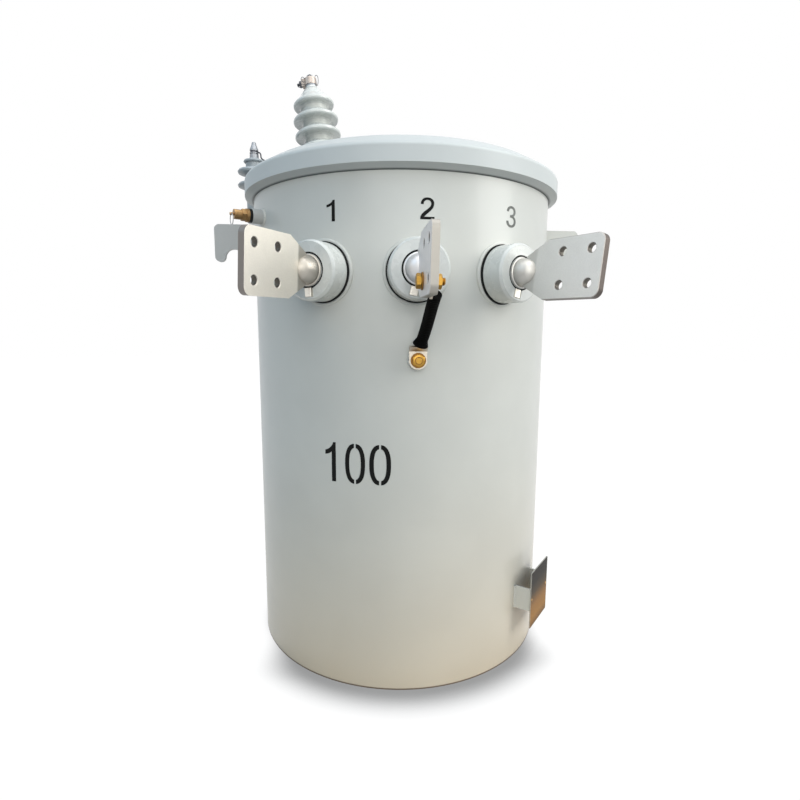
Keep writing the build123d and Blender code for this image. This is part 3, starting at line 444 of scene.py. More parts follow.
# Faces, sheared edges and hub of each spade: one tinned casting in lit and shaded copies, painted light and
# shade for how each spade catches the light.
spade_painted_light = (
    (srgb(246, 241, 230), srgb(112, 108, 106), srgb(160, 156, 148)),
    (srgb(216, 217, 221), srgb(150, 147, 140), srgb(216, 217, 219)),
    (srgb(212, 211, 207), srgb(78, 70, 66), srgb(196, 195, 190)),
)


def spade_metal(number, color, edge, hub):
    """Satin tinned casting of one terminal, with painted shade on its sheared edges, under its hub, on its
    side toward +X and in its four tapped holes.
    """
    sheet = Sheet(f"spade_tin_{number}", color, 0.44, metallic=1.0)
    place = facing(lv_angles[number - 1], 0.0, lv_height, twist=-spade_twists[number - 1])
    across, up, out = (place.col[index].to_3d() for index in range(3))
    fine = sheet.noise(900.0, detail=3.0)
    clouds = sheet.noise(38.0, detail=4.0, distortion=0.4)
    tint = sheet.blend(fine.smooth(0.25, 0.8), shade(color, 0.94), shade(color, 1.05))
    tint = sheet.blend(clouds.smooth(0.45, 0.8) * 0.3, tint, shade(color, 0.86))
    reach = sheet.along(place.translation, out)
    blade = reach.smooth(spade_hub_end - 3 * MM, spade_hub_end + 2 * MM)
    # Painted shade: sheared edges darker.
    sheared = 1.0 - sheet.looks(across).math("ABSOLUTE").smooth(0.5, 0.95)
    tint = sheet.blend(sheared * blade * 0.95, tint, edge)
    tint = sheet.blend((1.0 - blade) * 0.85, tint, hub)
    # Painted shade: the hub darker where it faces down.
    tint = sheet.blend(sheet.facing_down() * (1.0 - blade) * 0.42, tint, shade(color, 0.32))
    # Painted shade: darker on the side toward +X, where the light is strongest.
    tint = sheet.blend(sheet.looks((1, 0, 0)).smooth(0.82, 0.98) * 0.6, tint, shade(color, 0.5))
    column = (reach - hole_middle).math("ABSOLUTE") - hole_pitch / 2
    row = sheet.along(place.translation, up).math("ABSOLUTE") - hole_pitch / 2
    beside = (column * column + row * row) ** 0.5
    # Painted shade in the four tapped holes, striped by the thread.
    bored = 1.0 - beside.smooth(hole_radius, hole_radius + 0.25 * MM)
    thread_pitch = 1.75 * MM
    cut = (sheet.along(place.translation, across) * (2 * pi / thread_pitch)).math("SINE").smooth(-0.6, 0.9)
    tint = sheet.blend(bored, tint, sheet.blend(cut, srgb(38, 37, 36), srgb(128, 124, 116)))
    sheet.put("Base Color", tint)
    sheet.put("Roughness", 0.36 + fine * 0.1 + clouds * 0.1)
    sheet.bump(fine * 0.7 + clouds * 0.4, 0.4, 0.0003)
    return sheet.material


# ---------------------------------------------------------------- frame nodes take their finish
sleeve_low, sleeve_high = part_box("strap_sleeve")
sleeve_size = sleeve_high - sleeve_low
sleeve_thick, rib_pitch = 20.0 * MM, 3.4 * MM
sleeve_way = Vector((sleeve_size.x - sleeve_thick, sleeve_thick - sleeve_size.y, sleeve_size.z)).normalized()
sleeve_ribs = (sleeve_low, sleeve_way, rib_pitch)
sleeve_black = rubber("sleeve_rubber_black", srgb(4, 4, 4), ribs=sleeve_ribs, specular=0.03)

finish = {
    "tank_shell": tank_paint,
    "tank_bottom": tank_paint,
    "cover": cover_paint,
    "cover_band": cover_paint,
    "cover_gasket": gasket_black,
    "band_draw_bolt": zinc,
    "lv_gaskets": gasket_black,
    "lv_key_tabs": tin_satin,
    "strap_bolt_upper": brass_turned,
    "strap_bolt_lower": brass_turned,
    "strap_lug_upper": tin_lug,
    "strap_lug_lower": tin_lug,
    "strap_sleeve": sleeve_black,
    "ground_boss": fitting_paint,
    "hv_boss": cover_paint,
    "hv_gasket": gasket_black,
    "hv_insulator": hv_glaze,
    "hv_cap": zinc_weathered,
    "hv_connector": clamp_bronze,
    "hv_clamp_bolt": zinc,
    "jumper_wire": wire_dull,
    "arrester_bracket": fitting_paint,
    "arrester_base": zinc,
    "arrester_body": arrester_grey,
    "arrester_terminal": zinc_weathered,
    "prv_coupling": shaded_paint,
    "prv_gasket": gasket_black,
    "prv_valve": brass_dull,
    "prv_pull_ring": zinc,
    "lifting_lug_left": shaded_paint,
    "lifting_lug_right": fitting_paint,
    "hanger_bracket_upper": fitting_paint,
    "hanger_bracket_lower": fitting_paint,
    "nameplate": plate_dark,
    "nameplate_bracket": fitting_paint,
    "tank_ground_pad": fitting_paint,
    "core_and_coils": core_metal,
}
for number, angle in enumerate(lv_angles, start=1):
    finish[f"lv_terminal_{number}"] = spade_metal(number, *spade_painted_light[number - 1])
    origin = Vector((0, 0, lv_height))
    finish[f"lv_insulator_{number}"] = glazed(
        f"lv_glaze_{number}", srgb(209, 211, 206), origin, outward(angle), lv_face, shine=0.45
    )
for name, material in finish.items():
    mesh = nodes[name].data
    mesh.materials.clear()
    mesh.materials.append(material)


# ---------------------------------------------------------------- helpers for new pieces
def piece(name, mesh, material):
    """A finished piece at the origin that rides on the root body."""
    made = bpy.data.objects.new(name, mesh)
    bpy.context.scene.collection.objects.link(made)
    mesh.materials.clear()
    mesh.materials.append(material)
    mesh.shade_smooth()
    mesh.set_sharp_from_angle(angle=radians(32))
    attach(made, "root")
    return made


class Tree:
    """A Geometry Nodes tree with named inputs, built node by node."""

    def __init__(self, name, **inputs):
        self.group = bpy.data.node_groups.new(name, "GeometryNodeTree")
        kinds = {float: "NodeSocketFloat", int: "NodeSocketInt", tuple: "NodeSocketVector"}
        sockets = self.group.interface
        sockets.new_socket("Geometry", in_out="INPUT", socket_type="NodeSocketGeometry")
        self.keys = {}
        for key, value in inputs.items():
            made = sockets.new_socket(key, in_out="INPUT", socket_type=kinds[type(value)])
            made.default_value = value
            self.keys[key] = made.identifier
        sockets.new_socket("Geometry", in_out="OUTPUT", socket_type="NodeSocketGeometry")
        self.source = self.group.nodes.new("NodeGroupInput")
        self.sink = self.group.nodes.new("NodeGroupOutput")

    def get(self, key):
        """One of the tree's own inputs."""
        return self.source.outputs[key]

    def feed(self, socket, value):
        """Link another node's output to a socket, or set it to a constant."""
        if isinstance(value, bpy.types.NodeSocket):
            self.group.links.new(value, socket)
        else:
            socket.default_value = value

    def add(self, kind, settings, out=0, **inputs):
        """Add a node, set it up, feed its named sockets and return one of its outputs."""
        made = self.group.nodes.new(kind)
        for key, value in settings.items():
            setattr(made, key, value)
        for key, value in inputs.items():
            self.feed(made.inputs[key.replace("_", " ")], value)
        return made.outputs[out]

    def math(self, operation, *values):
        """One Math node on values or sockets."""
        made = self.group.nodes.new("ShaderNodeMath")
        made.operation = operation
        for socket, value in zip(made.inputs, values):
            self.feed(socket, value)
        return made.outputs[0]

    def close(self, geometry, material):
        """End the tree in Realize Instances and Set Material."""
        real = self.add("GeometryNodeRealizeInstances", {}, Geometry=geometry)
        done = self.add("GeometryNodeSetMaterial", {}, Geometry=real, Material=material)
        self.group.links.new(done, self.sink.inputs[0])

    def run(self, data, **values):
        """Evaluate the tree on a curve or mesh and return a plain mesh."""
        host = bpy.data.objects.new("host", data)
        bpy.context.scene.collection.objects.link(host)
        modifier = host.modifiers.new("tree", "NODES")
        modifier.node_group = self.group
        for key, value in values.items():
            modifier[self.keys[key]] = value
        seen = host.evaluated_get(bpy.context.evaluated_depsgraph_get())
        mesh = bpy.data.meshes.new_from_object(seen)
        host.modifiers.remove(modifier)
        bpy.data.objects.remove(host)
        return mesh


def poly_curve(paths):
    """Curve data with one poly spline for each (points, closed)."""
    curve = bpy.data.curves.new("path", "CURVE")
    curve.dimensions = "3D"
    for points, closed in paths:
        spline = curve.splines.new("POLY")
        spline.points.add(len(points) - 1)
        for target, point in zip(spline.points, points):
            target.co = (*point, 1.0)
        spline.use_cyclic_u = closed
    return curve


def bead_tree(material):
    """Weld bead: a half-sunk tube along a path, with a ripple every pitch metres."""
    tree = Tree("weld_bead", Radius=0.003, Pitch=0.005)
    step = tree.math("DIVIDE", tree.get("Pitch"), 4.0)
    path = tree.add("GeometryNodeResampleCurve", {"mode": "LENGTH"}, Curve=tree.get("Geometry"), Length=step)
    length = tree.add("GeometryNodeSplineParameter", {}, out="Length")
    wave = tree.math("FRACT", tree.math("DIVIDE", length, tree.get("Pitch")))
    arch = tree.math("SINE", tree.math("MULTIPLY", wave, pi))
    swell = tree.math("ADD", 0.86, tree.math("MULTIPLY", 0.24, arch))
    width = tree.math("MULTIPLY", swell, tree.get("Radius"))
    profile = tree.add("GeometryNodeCurvePrimitiveCircle", {}, Resolution=10, Radius=1.0)
    named = {"Curve": path, "Profile_Curve": profile, "Scale": width, "Fill_Caps": True}
    tree.close(tree.add("GeometryNodeCurveToMesh", {}, **named), material)
    return tree


def wire_tree(material):
    """Round wire of one thickness along a path."""
    tree = Tree("wire", Radius=0.0005)
    profile = tree.add("GeometryNodeCurvePrimitiveCircle", {}, Resolution=10, Radius=tree.get("Radius"))
    named = {"Curve": tree.get("Geometry"), "Profile_Curve": profile, "Fill_Caps": True}
    tree.close(tree.add("GeometryNodeCurveToMesh", {}, **named), material)
    return tree


def thread_tree(material):
    """Rolled screw thread: a diamond section swept along a helix that climbs the Z axis."""
    tree = Tree("thread", Radius=0.005, Pitch=0.0015, Length=0.01)
    turns = tree.math("DIVIDE", tree.get("Length"), tree.get("Pitch"))
    reach = tree.math("MULTIPLY", tree.get("Pitch"), 0.42)
    crest = tree.math("SUBTRACT", tree.get("Radius"), reach)
    named = {"Rotations": turns, "Start_Radius": crest, "End_Radius": crest, "Height": tree.get("Length")}
    helix = tree.add("GeometryNodeCurveSpiral", {}, Resolution=28, **named)
    upright = tree.add("GeometryNodeSetCurveNormal", {"mode": "Z_UP"}, Curve=helix)
    profile = tree.add("GeometryNodeCurvePrimitiveCircle", {}, Resolution=4, Radius=reach)
    tube = tree.add("GeometryNodeCurveToMesh", {}, Curve=upright, Profile_Curve=profile, Fill_Caps=True)
    tree.close(tube, material)
    return tree


def rivet_tree(material):
    """A low domed rivet head at each point of the host, turned to look along Way."""
    tree = Tree("rivets", Radius=0.003, Rise=0.001, Way=(0.0, 0.0, 1.0))
    ball = tree.add("GeometryNodeMeshUVSphere", {}, Segments=24, Rings=12, Radius=1.0)
    radius = tree.get("Radius")
    flat = tree.add("ShaderNodeCombineXYZ", {}, X=radius, Y=radius, Z=tree.get("Rise"))
    head = tree.add("GeometryNodeTransform", {}, Geometry=ball, Scale=flat)
    turn = tree.add("FunctionNodeAlignRotationToVector", {"axis": "Z"}, Vector=tree.get("Way"))
    named = {"Points": tree.get("Geometry"), "Instance": head, "Rotation": turn}
    tree.close(tree.add("GeometryNodeInstanceOnPoints", {}, **named), material)
    return tree


# ---------------------------------------------------------------- fasteners
thread = thread_tree(zinc)


def skin(build, rings, closed=False):
    """Faces between rings of corners. A ring of one corner is a pole."""
    pairs = list(zip(rings, rings[1:])) + ([(rings[-1], rings[0])] if closed else [])
    for low, high in pairs:
        count = max(len(low), len(high))
        for index in range(count):
            after = (index + 1) % count
            corners = [low[index % len(low)], low[after % len(low)]]
            corners += [high[after % len(high)], high[index % len(high)]]
            build.faces.new([corner for spot, corner in enumerate(corners) if corner not in corners[:spot]])


def turned(build, place, points, closed=False, segments=48):
    """Body of revolution about the placement's Z axis, from (radius, height) points in mm."""
    rings = []
    for radius, height in points:
        count = segments if radius > 0 else 1
        turns = [2 * pi * index / segments for index in range(count)]
        spots = [Vector((radius * cos(turn), radius * sin(turn), height)) * MM for turn in turns]
        rings.append([build.verts.new(place @ spot) for spot in spots])
    skin(build, rings, closed)


def hexagon(build, place, across, start, end, segments=48):
    """Nut or bolt head with the round chamfers of a real one, from start to end in mm."""
    flat = across / 2
    inner = flat * 0.94
    chamfer = 0.577
    rings = [[build.verts.new(place @ Vector((0, 0, start * MM)))]]
    for height, way in ((start, 1), (end, -1)):
        circle, corner = [], []
        for index in range(segments):
            turn = 2 * pi * index / segments
            reach = flat / cos((turn + pi / 6) % (pi / 3) - pi / 6)
            drop = (reach - inner) * chamfer * way
            round_spot = Vector((inner * cos(turn), inner * sin(turn), height))
            hex_spot = Vector((reach * cos(turn), reach * sin(turn), height + drop))
            circle.append(build.verts.new(place @ (round_spot * MM)))
            corner.append(build.verts.new(place @ (hex_spot * MM)))
        rings += [circle, corner][::way]
    rings.append([build.verts.new(place @ Vector((0, 0, end * MM)))])
    skin(build, rings)


def fastener(name, material, place, steps, over=None):
    """Bolt, nuts and washers along the placement's Z axis.

    Each step is (kind, width, start, end) in mm. over is the frame node that it stands for.
    """
    build = bmesh.new()
    for kind, width, start, end in steps:
        half = width / 2
        edge = min(0.5, (end - start) / 4)
        if kind == "hex":
            hexagon(build, place, width, start, end)
        elif kind == "thread":
            core, pitch, tip = half - 1.2 * half * 0.16, half * 0.3, 0.6
            turned(build, place, [(0, start), (core, start), (core, end - tip), (core - tip, end), (0, end)])
            named = {"Radius": half * MM, "Pitch": pitch * MM, "Length": (end - start - pitch) * MM}
            coil = thread.run(poly_curve([([(0, 0, 0), (0, 0, MM)], False)]), **named)
            coil.transform(place @ Matrix.Translation((0, 0, (start + pitch / 2) * MM)))
            build.from_mesh(coil)
        else:
            lower = [(0, start), (half - edge, start), (half, start + edge)]
            turned(build, place, lower + [(half, end - edge), (half - edge, end), (0, end)])
    bmesh.ops.recalc_face_normals(build, faces=build.faces[:])
    mesh = bpy.data.meshes.new(name)
    build.to_mesh(mesh)
    build.free()
    made = piece(name, mesh, material)
    if over:
        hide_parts(over)


strap_hole = Matrix.Translation((0, -hole_pitch / 2, hole_middle - hole_pitch / 2))
strap_spot = tipped(facing(0.0, 0.0, lv_height, twist=-spade_twists[1]) @ strap_hole)
strap_steps = [
    ("round", 10, -7, 11), ("hex", 16.6, -13.6, -7), ("hex", 16.6, 10.6, 18.4), ("thread", 10, 18.4, 22.7),
]
fastener("strap_bolt_top", brass_turned, strap_spot, strap_steps, "strap_bolt_upper")
strap_washers = [("round", 22, -7, -5), ("round", 21, 9, 10.6)]
fastener("strap_washers_top", brass_dark, strap_spot, strap_washers)
foot_spot = facing(ground_angle, -boss_low.y, ground_height)
foot_steps = [("round", 10, -8, 4), ("hex", 16.4, 5.7, 11.2), ("round", 9.0, 11.0, 12.8)]
fastener("strap_bolt_foot", brass_turned, foot_spot, foot_steps, "strap_bolt_lower")
foot_washers = [("round", 22, 3.7, 5.7), ("round", 11.6, 11.0, 11.4)]
fastener("strap_washers_foot", brass_dark, foot_spot, foot_washers)

# The bushing on the cover stands on a leaning axis that ends in its stud.
hv_tilt = radians(hv_lean)
hv_way = (outward(hv_angle) * sin(hv_tilt) + Vector((0, 0, cos(hv_tilt)))).normalized()
hv_inset, stud_top, stud_radius = 79.7 * MM, 229.6 * MM, 6.0 * MM
hv_foot_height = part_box("hv_cap")[1].z - stud_radius * sin(hv_tilt) - stud_top * hv_way.z
hv_foot = around(hv_angle, tank_radius - hv_inset, hv_foot_height)
hv_side = Vector((cos(radians(hv_angle)), sin(radians(hv_angle)), 0.0))
hv_turn = Matrix((hv_side, hv_way.cross(hv_side), hv_way)).transposed().to_4x4()
hv_place = Matrix.Translation(hv_foot) @ hv_turn
clamp_turn, clamp_height = -63.0, 216.8 * MM
clamp_lift = Matrix.Translation((0, 0, clamp_height))
clamp_spot = hv_place @ Matrix.Rotation(radians(clamp_turn), 4, "Z") @ clamp_lift
clamp_steps = [("round", 6, 7.6, 17.8), ("hex", 11, 17.6, 23.1), ("thread", 6, 23.1, 28)]
fastener("hv_clamp_screw", dark_steel, tipped(clamp_spot), clamp_steps, "hv_clamp_bolt")
draw_low, draw_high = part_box("band_draw_bolt")
draw_spot = Matrix.Translation((0, (draw_low.y + draw_high.y) / 2, (draw_low.z + draw_high.z) / 2))
draw_steps = [
    ("round", 10, -17.5, 17.5), ("hex", 16.4, -23.7, -17.2),
    ("hex", 16.4, 17.2, 25.7), ("thread", 10, 25.7, 35.2),
]
fastener("band_bolt", zinc, tipped(draw_spot), draw_steps, "band_draw_bolt")

# ---------------------------------------------------------------- seals in the face grooves of the bushings
# Section of one seal: radius and height from the bushing's face, in mm.
seal = [(22.75, -3.0), (25.05, -3.0), (25.05, -0.9), (24.6, -0.45), (23.2, -0.45), (22.75, -0.9)]
rings = bmesh.new()
for angle in lv_angles:
    turned(rings, facing(angle, lv_face, lv_height), seal, closed=True, segments=72)
bmesh.ops.recalc_face_normals(rings, faces=rings.faces[:])
seal_mesh = bpy.data.meshes.new("face_seals")
rings.to_mesh(seal_mesh)
rings.free()
piece("face_seals", seal_mesh, gasket_black)

# ---------------------------------------------------------------- weld beads
welds = []


def wall_ring(angle, height, radius, count=48):
    """Closed path where a round boss meets the tank wall."""
    turns = [2 * pi * index / count for index in range(count)]
    spots = [(degrees(radius * cos(turn) / tank_radius), radius * sin(turn)) for turn in turns]
    return [around(angle + aside, tank_radius, height + rise) for aside, rise in spots], True


lug_half, flange_wide, flange_inner = 5.6 * MM, 8.0 * MM, 262.6 * MM
for side in (-1, 1):
    ends = ((-lug_half, lug_low.z), (-lug_half, lug_high.z), (lug_half, lug_high.z), (lug_half, lug_low.z))
    welds.append(([(side * tank_radius, y * side, z) for y, z in ends], True))
for name in ("hanger_bracket_upper", "hanger_bracket_lower"):
    low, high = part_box(name)
    for side in (-1, 1):
        edge = side * high.x
        ends = [(edge - side * flange_wide, flange_inner), (edge, low.y + 0.6 * MM)]
        welds.append(([(*ends[0], low.z), (*ends[1], low.z), (*ends[1], high.z), (*ends[0], high.z)], False))
low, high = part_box("arrester_bracket")
bracket_half = degrees(18.0 * MM / tank_radius)
corners = ((-bracket_half, low.z), (bracket_half, low.z), (bracket_half, high.z), (-bracket_half, high.z))
welds.append(([around(arrester_angle + aside, tank_radius + 0.3 * MM, z) for aside, z in corners], True))
welds.append(wall_ring(ground_angle, ground_height, 12.9 * MM))
low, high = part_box("prv_coupling")
welds.append(wall_ring(valve_angle, (low.z + high.z) / 2, 11.9 * MM))
low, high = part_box("tank_ground_pad")
welds.append(wall_ring(earth_pad_angle, (low.z + high.z) / 2, 16.4 * MM))
low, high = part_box("nameplate_bracket")
plate_leg_angle = 8.62
for aside in (-plate_leg_angle, plate_leg_angle):
    leg = [around(plate_angle + aside, tank_radius + 0.6 * MM, z) for z in (low.z, high.z)]
    welds.append((leg, False))

# Round the bushing's boss the bead follows the dome: rays down the boss meet the cover.
cover_mesh = nodes["cover"].data
cover_skin = BVHTree.FromPolygons(
    [vert.co for vert in cover_mesh.vertices], [face.vertices for face in cover_mesh.polygons]
)
boss_radius, ray_height, boss_steps = 47.6, 60.0, 72
boss_ring = []
for index in range(boss_steps):
    turn = 2 * pi * index / boss_steps
    start = hv_place @ (Vector((boss_radius * cos(turn), boss_radius * sin(turn), ray_height)) * MM)
    boss_ring.append(cover_skin.ray_cast(start, -hv_way)[0])
welds.append((boss_ring, True))
bead = bead_tree(fitting_paint)
weld_mesh = bead.run(poly_curve(welds), Radius=2.3 * MM, Pitch=4.2 * MM)
piece("weld_beads", weld_mesh, fitting_paint)
seam_ends = (shell_low.z + 3.0 * MM, shell_high.z - 9.0 * MM)
seam_path = [around(seam_angle, tank_radius - 1.7 * MM, z) for z in seam_ends]
seam_mesh = bead.run(poly_curve([(seam_path, False)]), Radius=2.7 * MM, Pitch=6.0 * MM)
piece("shell_seam", seam_mesh, tank_paint)

# ---------------------------------------------------------------- strand ends at the line terminal
hub_low, hub_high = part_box("hv_connector")
hub = (hub_low + hub_high) / 2
strand_ends = [
    [
        (-5, -5, -2), (-9, -6, -1), (-14, -6, 0), (-15.5, -6, 3.5),
        (-14, -6, 7), (-11, -6, 7.5), (-8.5, -5.6, 5), (-7, -5, 1),
    ],
    [
        (-1, -5, 3), (-1.5, -5.5, 9), (0, -5.4, 12.5), (2.5, -5, 13.4),
        (4.5, -5, 12), (5.5, -4.6, 8), (5, -4, 3),
    ],
    [
        (12.6, -4, 10.6), (13.6, -4, 12.6), (15.6, -4, 13.2), (17.4, -4, 11.5),
        (18.6, -3.8, 8), (18.8, -3.6, 2), (17.6, -3.6, -6),
    ],
    [
        (-6, -5.6, -5), (-12, -7, -6.5), (-17, -7, -5.5), (-21, -6.5, -7.5),
        (-22, -6, -10.5), (-18, -5, -12), (-13, -4, -10),
    ],
]


def rounded_path(points, count=6):
    """Smooth path through the points."""
    found = []
    ends = [points[0]] + points + [points[-1]]
    for a, b, c, d in zip(ends, ends[1:], ends[2:], ends[3:]):
        for step in range(count):
            t = step / count
            spot = 2 * b + (c - a) * t
            spot += (2 * a - 5 * b + 4 * c - d) * t ** 2
            spot += (3 * b - a - 3 * c + d) * t ** 3
            found.append(0.5 * spot)
    return found + [points[-1]]


paths = [(rounded_path([hub + Vector(spot) * MM for spot in strand]), False) for strand in strand_ends]
strand_mesh = wire_tree(wire_dull).run(poly_curve(paths), Radius=0.55 * MM)
piece("strand_ends", strand_mesh, wire_dull)

# ---------------------------------------------------------------- rivets of the nameplate
plate_low, plate_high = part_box("nameplate")
plate_middle = (plate_low + plate_high) / 2
plate_side = Vector((cos(radians(plate_angle)), sin(radians(plate_angle)), 0.0))
plate_way = outward(plate_angle)
plate_half_thick, rivet_aside = 0.75 * MM, 36.5 * MM
plate_face = plate_middle + plate_way * plate_half_thick
dots = bpy.data.meshes.new("rivet_places")
dots.from_pydata([plate_face + plate_side * aside for aside in (-rivet_aside, rivet_aside)], [], [])
rivet_mesh = rivet_tree(brass_dull).run(dots, Radius=2.8 * MM, Rise=1.1 * MM, Way=tuple(plate_way))
piece("nameplate_rivets", rivet_mesh, brass_dull)


# ---------------------------------------------------------------- plain stencilled numbers
def bezier(start, first, second, end, count=10):
    """Points of one cubic arc, without its start."""
    found = []
    for step in range(1, count + 1):
        t = step / count
        u = 1 - t
        found.append(tuple(
            u ** 3 * a + 3 * u * u * t * b + 3 * u * t * t * c + t ** 3 * d
            for a, b, c, d in zip(start, first, second, end)
        ))
    return found


def outline(start, *runs):
    """Closed outline from a start point and runs: (point,) for a line, three points for an arc."""
    found = [start]
    for run in runs:
        found += [run[0]] if len(run) == 1 else bezier(found[-1], *run)
    return found


glyphs = {
    "1": [outline(
        (0.33, 0.0), ((0.46, 0.0),), ((0.46, 1.0),), ((0.38, 1.0),),
        ((0.35, 0.90), (0.26, 0.82), (0.12, 0.79)), ((0.12, 0.68),),
        ((0.22, 0.69), (0.29, 0.72), (0.33, 0.76)),
    )],
    "2": [outline(
        (0.02, 0.0), ((0.64, 0.0),), ((0.64, 0.12),), ((0.20, 0.12),),
        ((0.26, 0.26), (0.62, 0.42), (0.62, 0.72)), ((0.62, 0.89), (0.50, 1.0), (0.33, 1.0)),
        ((0.15, 1.0), (0.05, 0.88), (0.04, 0.70)), ((0.165, 0.685),),
        ((0.17, 0.81), (0.23, 0.885), (0.33, 0.885)),
        ((0.43, 0.885), (0.49, 0.81), (0.49, 0.715)), ((0.49, 0.48), (0.03, 0.36), (0.02, 0.06)),
    )],
    "3": [outline(
        (0.03, 0.29), ((0.04, 0.11), (0.16, 0.0), (0.32, 0.0)), ((0.50, 0.0), (0.62, 0.12), (0.62, 0.29)),
        ((0.62, 0.41), (0.56, 0.49), (0.46, 0.525)), ((0.55, 0.57), (0.59, 0.64), (0.59, 0.74)),
        ((0.59, 0.89), (0.48, 1.0), (0.32, 1.0)), ((0.17, 1.0), (0.06, 0.90), (0.045, 0.74)),
        ((0.17, 0.725),),
        ((0.18, 0.83), (0.24, 0.885), (0.32, 0.885)), ((0.41, 0.885), (0.465, 0.83), (0.465, 0.74)),
        ((0.465, 0.63), (0.39, 0.575), (0.25, 0.58)), ((0.25, 0.465),),
        ((0.41, 0.475), (0.495, 0.41), (0.495, 0.29)),
        ((0.495, 0.18), (0.42, 0.112), (0.32, 0.112)), ((0.23, 0.112), (0.175, 0.17), (0.155, 0.305)),
    )],
}


def stencil_zero(width, stroke, bridge, squareness=2.4, steps=30):
    """Left and right half of a stencilled zero of height 1, parted by straight cuts at top and foot."""
    halves = []
    for side in (-1, 1):
        loop = []
        for reach, rise, order in ((width / 2, 0.5, 1), (width / 2 - stroke, 0.5 - stroke, -1)):
            cut = (1 - (bridge / 2 / reach) ** squareness) ** (1 / squareness)
            arc = [(bridge / 2, -rise * cut)]
            for step in range(1, steps):
                turn = -pi / 2 + pi * step / steps
                x = reach * cos(turn) ** (2 / squareness)
                if x > bridge / 2:
                    arc.append((x, rise * abs(sin(turn)) ** (2 / squareness) * (1 if turn > 0 else -1)))
            arc.append((bridge / 2, rise * cut))
            loop += arc[::order]
        halves.append([(width / 2 + side * x, 0.5 + y) for x, y in loop])
    return halves


def wall_figure(name, loops, left, right, low, high, material):
    """Thin painted figure on the tank wall. Loops are in a box 1 high, between two angles and heights."""
    build = bmesh.new()
    wide = max(x for loop in loops for x, y in loop)
    narrow = min(x for loop in loops for x, y in loop)
    for loop in loops:
        ring = [build.verts.new((x, 0, y)) for x, y in loop]
        for corners in tessellate_polygon([[Vector((x, y, 0)) for x, y in loop]]):
            build.faces.new([ring[corner] for corner in corners])
    step = 0.06
    cut = narrow + step
    while cut < wide:
        every = build.verts[:] + build.edges[:] + build.faces[:]
        bmesh.ops.bisect_plane(build, geom=every, plane_co=(cut, 0, 0), plane_no=(1, 0, 0))
        cut += step
    bmesh.ops.recalc_face_normals(build, faces=build.faces[:])
    for face in build.faces:
        if face.normal.y > 0:
            face.normal_flip()
    thick = bmesh.ops.extrude_face_region(build, geom=build.faces[:])
    top = {item for item in thick["geom"] if isinstance(item, bmesh.types.BMVert)}
    proud, sunk = 0.22 * MM, 0.35 * MM
    for vert in build.verts:
        share = (vert.co.x - narrow) / (wide - narrow)
        angle = left + (right - left) * share
        radius = tank_radius + (proud if vert in top else -sunk)
        height = low + (high - low) * vert.co.z
        vert.co = around(angle, radius, height)
    bmesh.ops.recalc_face_normals(build, faces=build.faces[:])
    mesh = bpy.data.meshes.new(name)
    build.to_mesh(mesh)
    build.free()
    piece(name, mesh, material)


wall_figure("number_1", glyphs["1"], -28.5, -25.6, 0.7225, 0.7520, stencil_black)
wall_figure("number_2", glyphs["2"], 0.9, 5.3, 0.7230, 0.7525, stencil_black)
wall_figure("number_3", glyphs["3"], 31.2, 35.8, 0.7220, 0.7530, stencil_worn)
wall_figure("rating_1", glyphs["1"], -30.3, -26.35, 0.3375, 0.3990, stencil_black)
zero = stencil_zero(0.5, 0.105, 0.045)
wall_figure("rating_2", zero, -23.0, -16.15, 0.3367, 0.3990, stencil_black)
wall_figure("rating_3", zero, -14.75, -7.65, 0.3367, 0.3990, stencil_black)

# ---------------------------------------------------------------- floor, light and camera
floor_white = 0.92
floor_warm = srgb(216, 196, 164)
floor_cool = srgb(118, 127, 136)


def studio_floor():
    """Pale floor: white to the camera but for a painted shadow round the object, from ambient occlusion
    narrowed by position, with a warm bounce near the object.
    """
    sheet = Sheet("floor_pale", (0.9, 0.9, 0.9), 0.8)
    away = sheet.node("VectorMath", {"operation": "LENGTH"}, sheet.place, out="Value")
    fade = away.smooth(0.30, 0.42) * 0.06 + 0.94
    pale = sheet.node("BsdfDiffuse", {}, (floor_white, floor_white, floor_white, 1))
    # Painted shadow: the floor glows white to the camera, darkened by ambient occlusion and more toward the
    # front.
    open_sky = sheet.node("AmbientOcclusion", {"samples": 32}, Distance=0.082, out="AO")
    shadow_trim = sheet.axis(1).smooth(-0.225, -0.09) * 0.36
    shadow = (1.0 - open_sky - shadow_trim).smooth(0.0, 0.42) * 0.74
    glow = sheet.node("Emission", {}, (1, 1, 1, 1), 1.04 - shadow)
    shown = sheet.node("MixShader", {}, fade, pale, glow)
    bounce = sheet.node("BsdfDiffuse", {}, sheet.blend(away.smooth(0.3, 1.1), floor_warm, floor_cool))
    whole = sheet.node("MixShader", {}, sheet.white_rays(), bounce, shown)
    sheet.tree.links.new(whole.socket, sheet.tree.nodes["Material Output"].inputs["Surface"])
    return sheet.material


floor_mesh = bpy.data.meshes.new("floor")
grid = bmesh.new()
bmesh.ops.create_circle(grid, cap_ends=True, segments=96, radius=9.0)
grid.to_mesh(floor_mesh)
grid.free()
floor = bpy.data.objects.new("floor", floor_mesh)
bpy.context.scene.collection.objects.link(floor)
floor_mesh.materials.append(studio_floor())


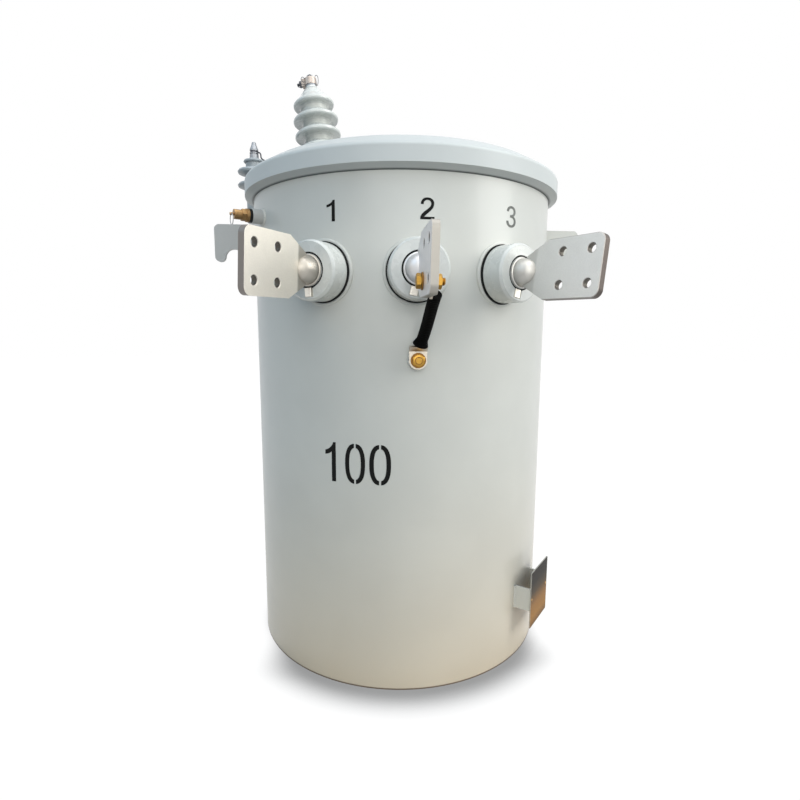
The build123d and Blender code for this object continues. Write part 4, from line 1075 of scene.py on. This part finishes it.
def studio_world():
    """World that is white to the camera and in reflections, and lights like a soft sky, bluer upwards."""
    world = bpy.data.worlds.new("studio")
    world.use_nodes = True
    sky = Graph(world.node_tree)
    sky.tree.nodes.clear()
    height = sky.node("SeparateXYZ", {}, sky.node("TexCoord", {}, out="Generated"), out=2)
    stops = ((0.0, (0.22, 0.262, 0.29)), (0.75, (0.27, 0.39, 0.53)))
    soft = sky.node("Background", {}, sky.node("ValToRGB", {"stops": stops}, height))
    bright = sky.node("Background", {}, (1, 1, 1, 1), 1.0)
    mixed = sky.node("MixShader", {}, sky.white_rays(), soft, bright)
    output = sky.tree.nodes.new("ShaderNodeOutputWorld")
    sky.tree.links.new(mixed.socket, output.inputs["Surface"])
    return world


bpy.context.scene.world = studio_world()


def softbox(name, place, target, width, height, power, color=(1, 1, 1)):
    """Rectangular area light that looks at a point."""
    data = bpy.data.lights.new(name, "AREA")
    data.shape = "RECTANGLE"
    data.size = width
    data.size_y = height
    data.energy = power
    data.color = color
    lamp = bpy.data.objects.new(name, data)
    lamp.location = place
    lamp.rotation_euler = (Vector(target) - Vector(place)).to_track_quat("-Z", "Y").to_euler()
    bpy.context.scene.collection.objects.link(lamp)


softbox("key", (2.7, -1.3, 1.9), (0, 0, 0.45), 1.8, 2.4, 66, (1.0, 0.98, 0.94))
softbox("overhead", (0.3, -0.4, 2.7), (0, 0, 0.5), 2.6, 2.2, 30)
softbox("sky_left", (-2.3, -0.7, 2.5), (0, 0, 0.6), 1.6, 1.6, 7, (0.42, 0.74, 1.0))
softbox("front", (-0.2, -2.9, 1.5), (0, 0, 0.45), 2.4, 2.2, 31, (1.0, 0.98, 0.93))

camera_data = bpy.data.cameras.new("camera")
camera_data.sensor_width = 36
camera_data.lens = 23.733
camera = bpy.data.objects.new("camera", camera_data)
bpy.context.scene.collection.objects.link(camera)
camera_roll = Matrix.Rotation(0.005, 3, "Z")
camera_look = Euler((radians(81.75), 0, radians(-4.9)), "XYZ").to_matrix() @ camera_roll
camera.matrix_world = Matrix.Translation((-0.0882, -1.0289, 0.5782)) @ camera_look.to_4x4()
bpy.context.scene.camera = camera
bpy.context.scene.view_settings.view_transform = "Standard"
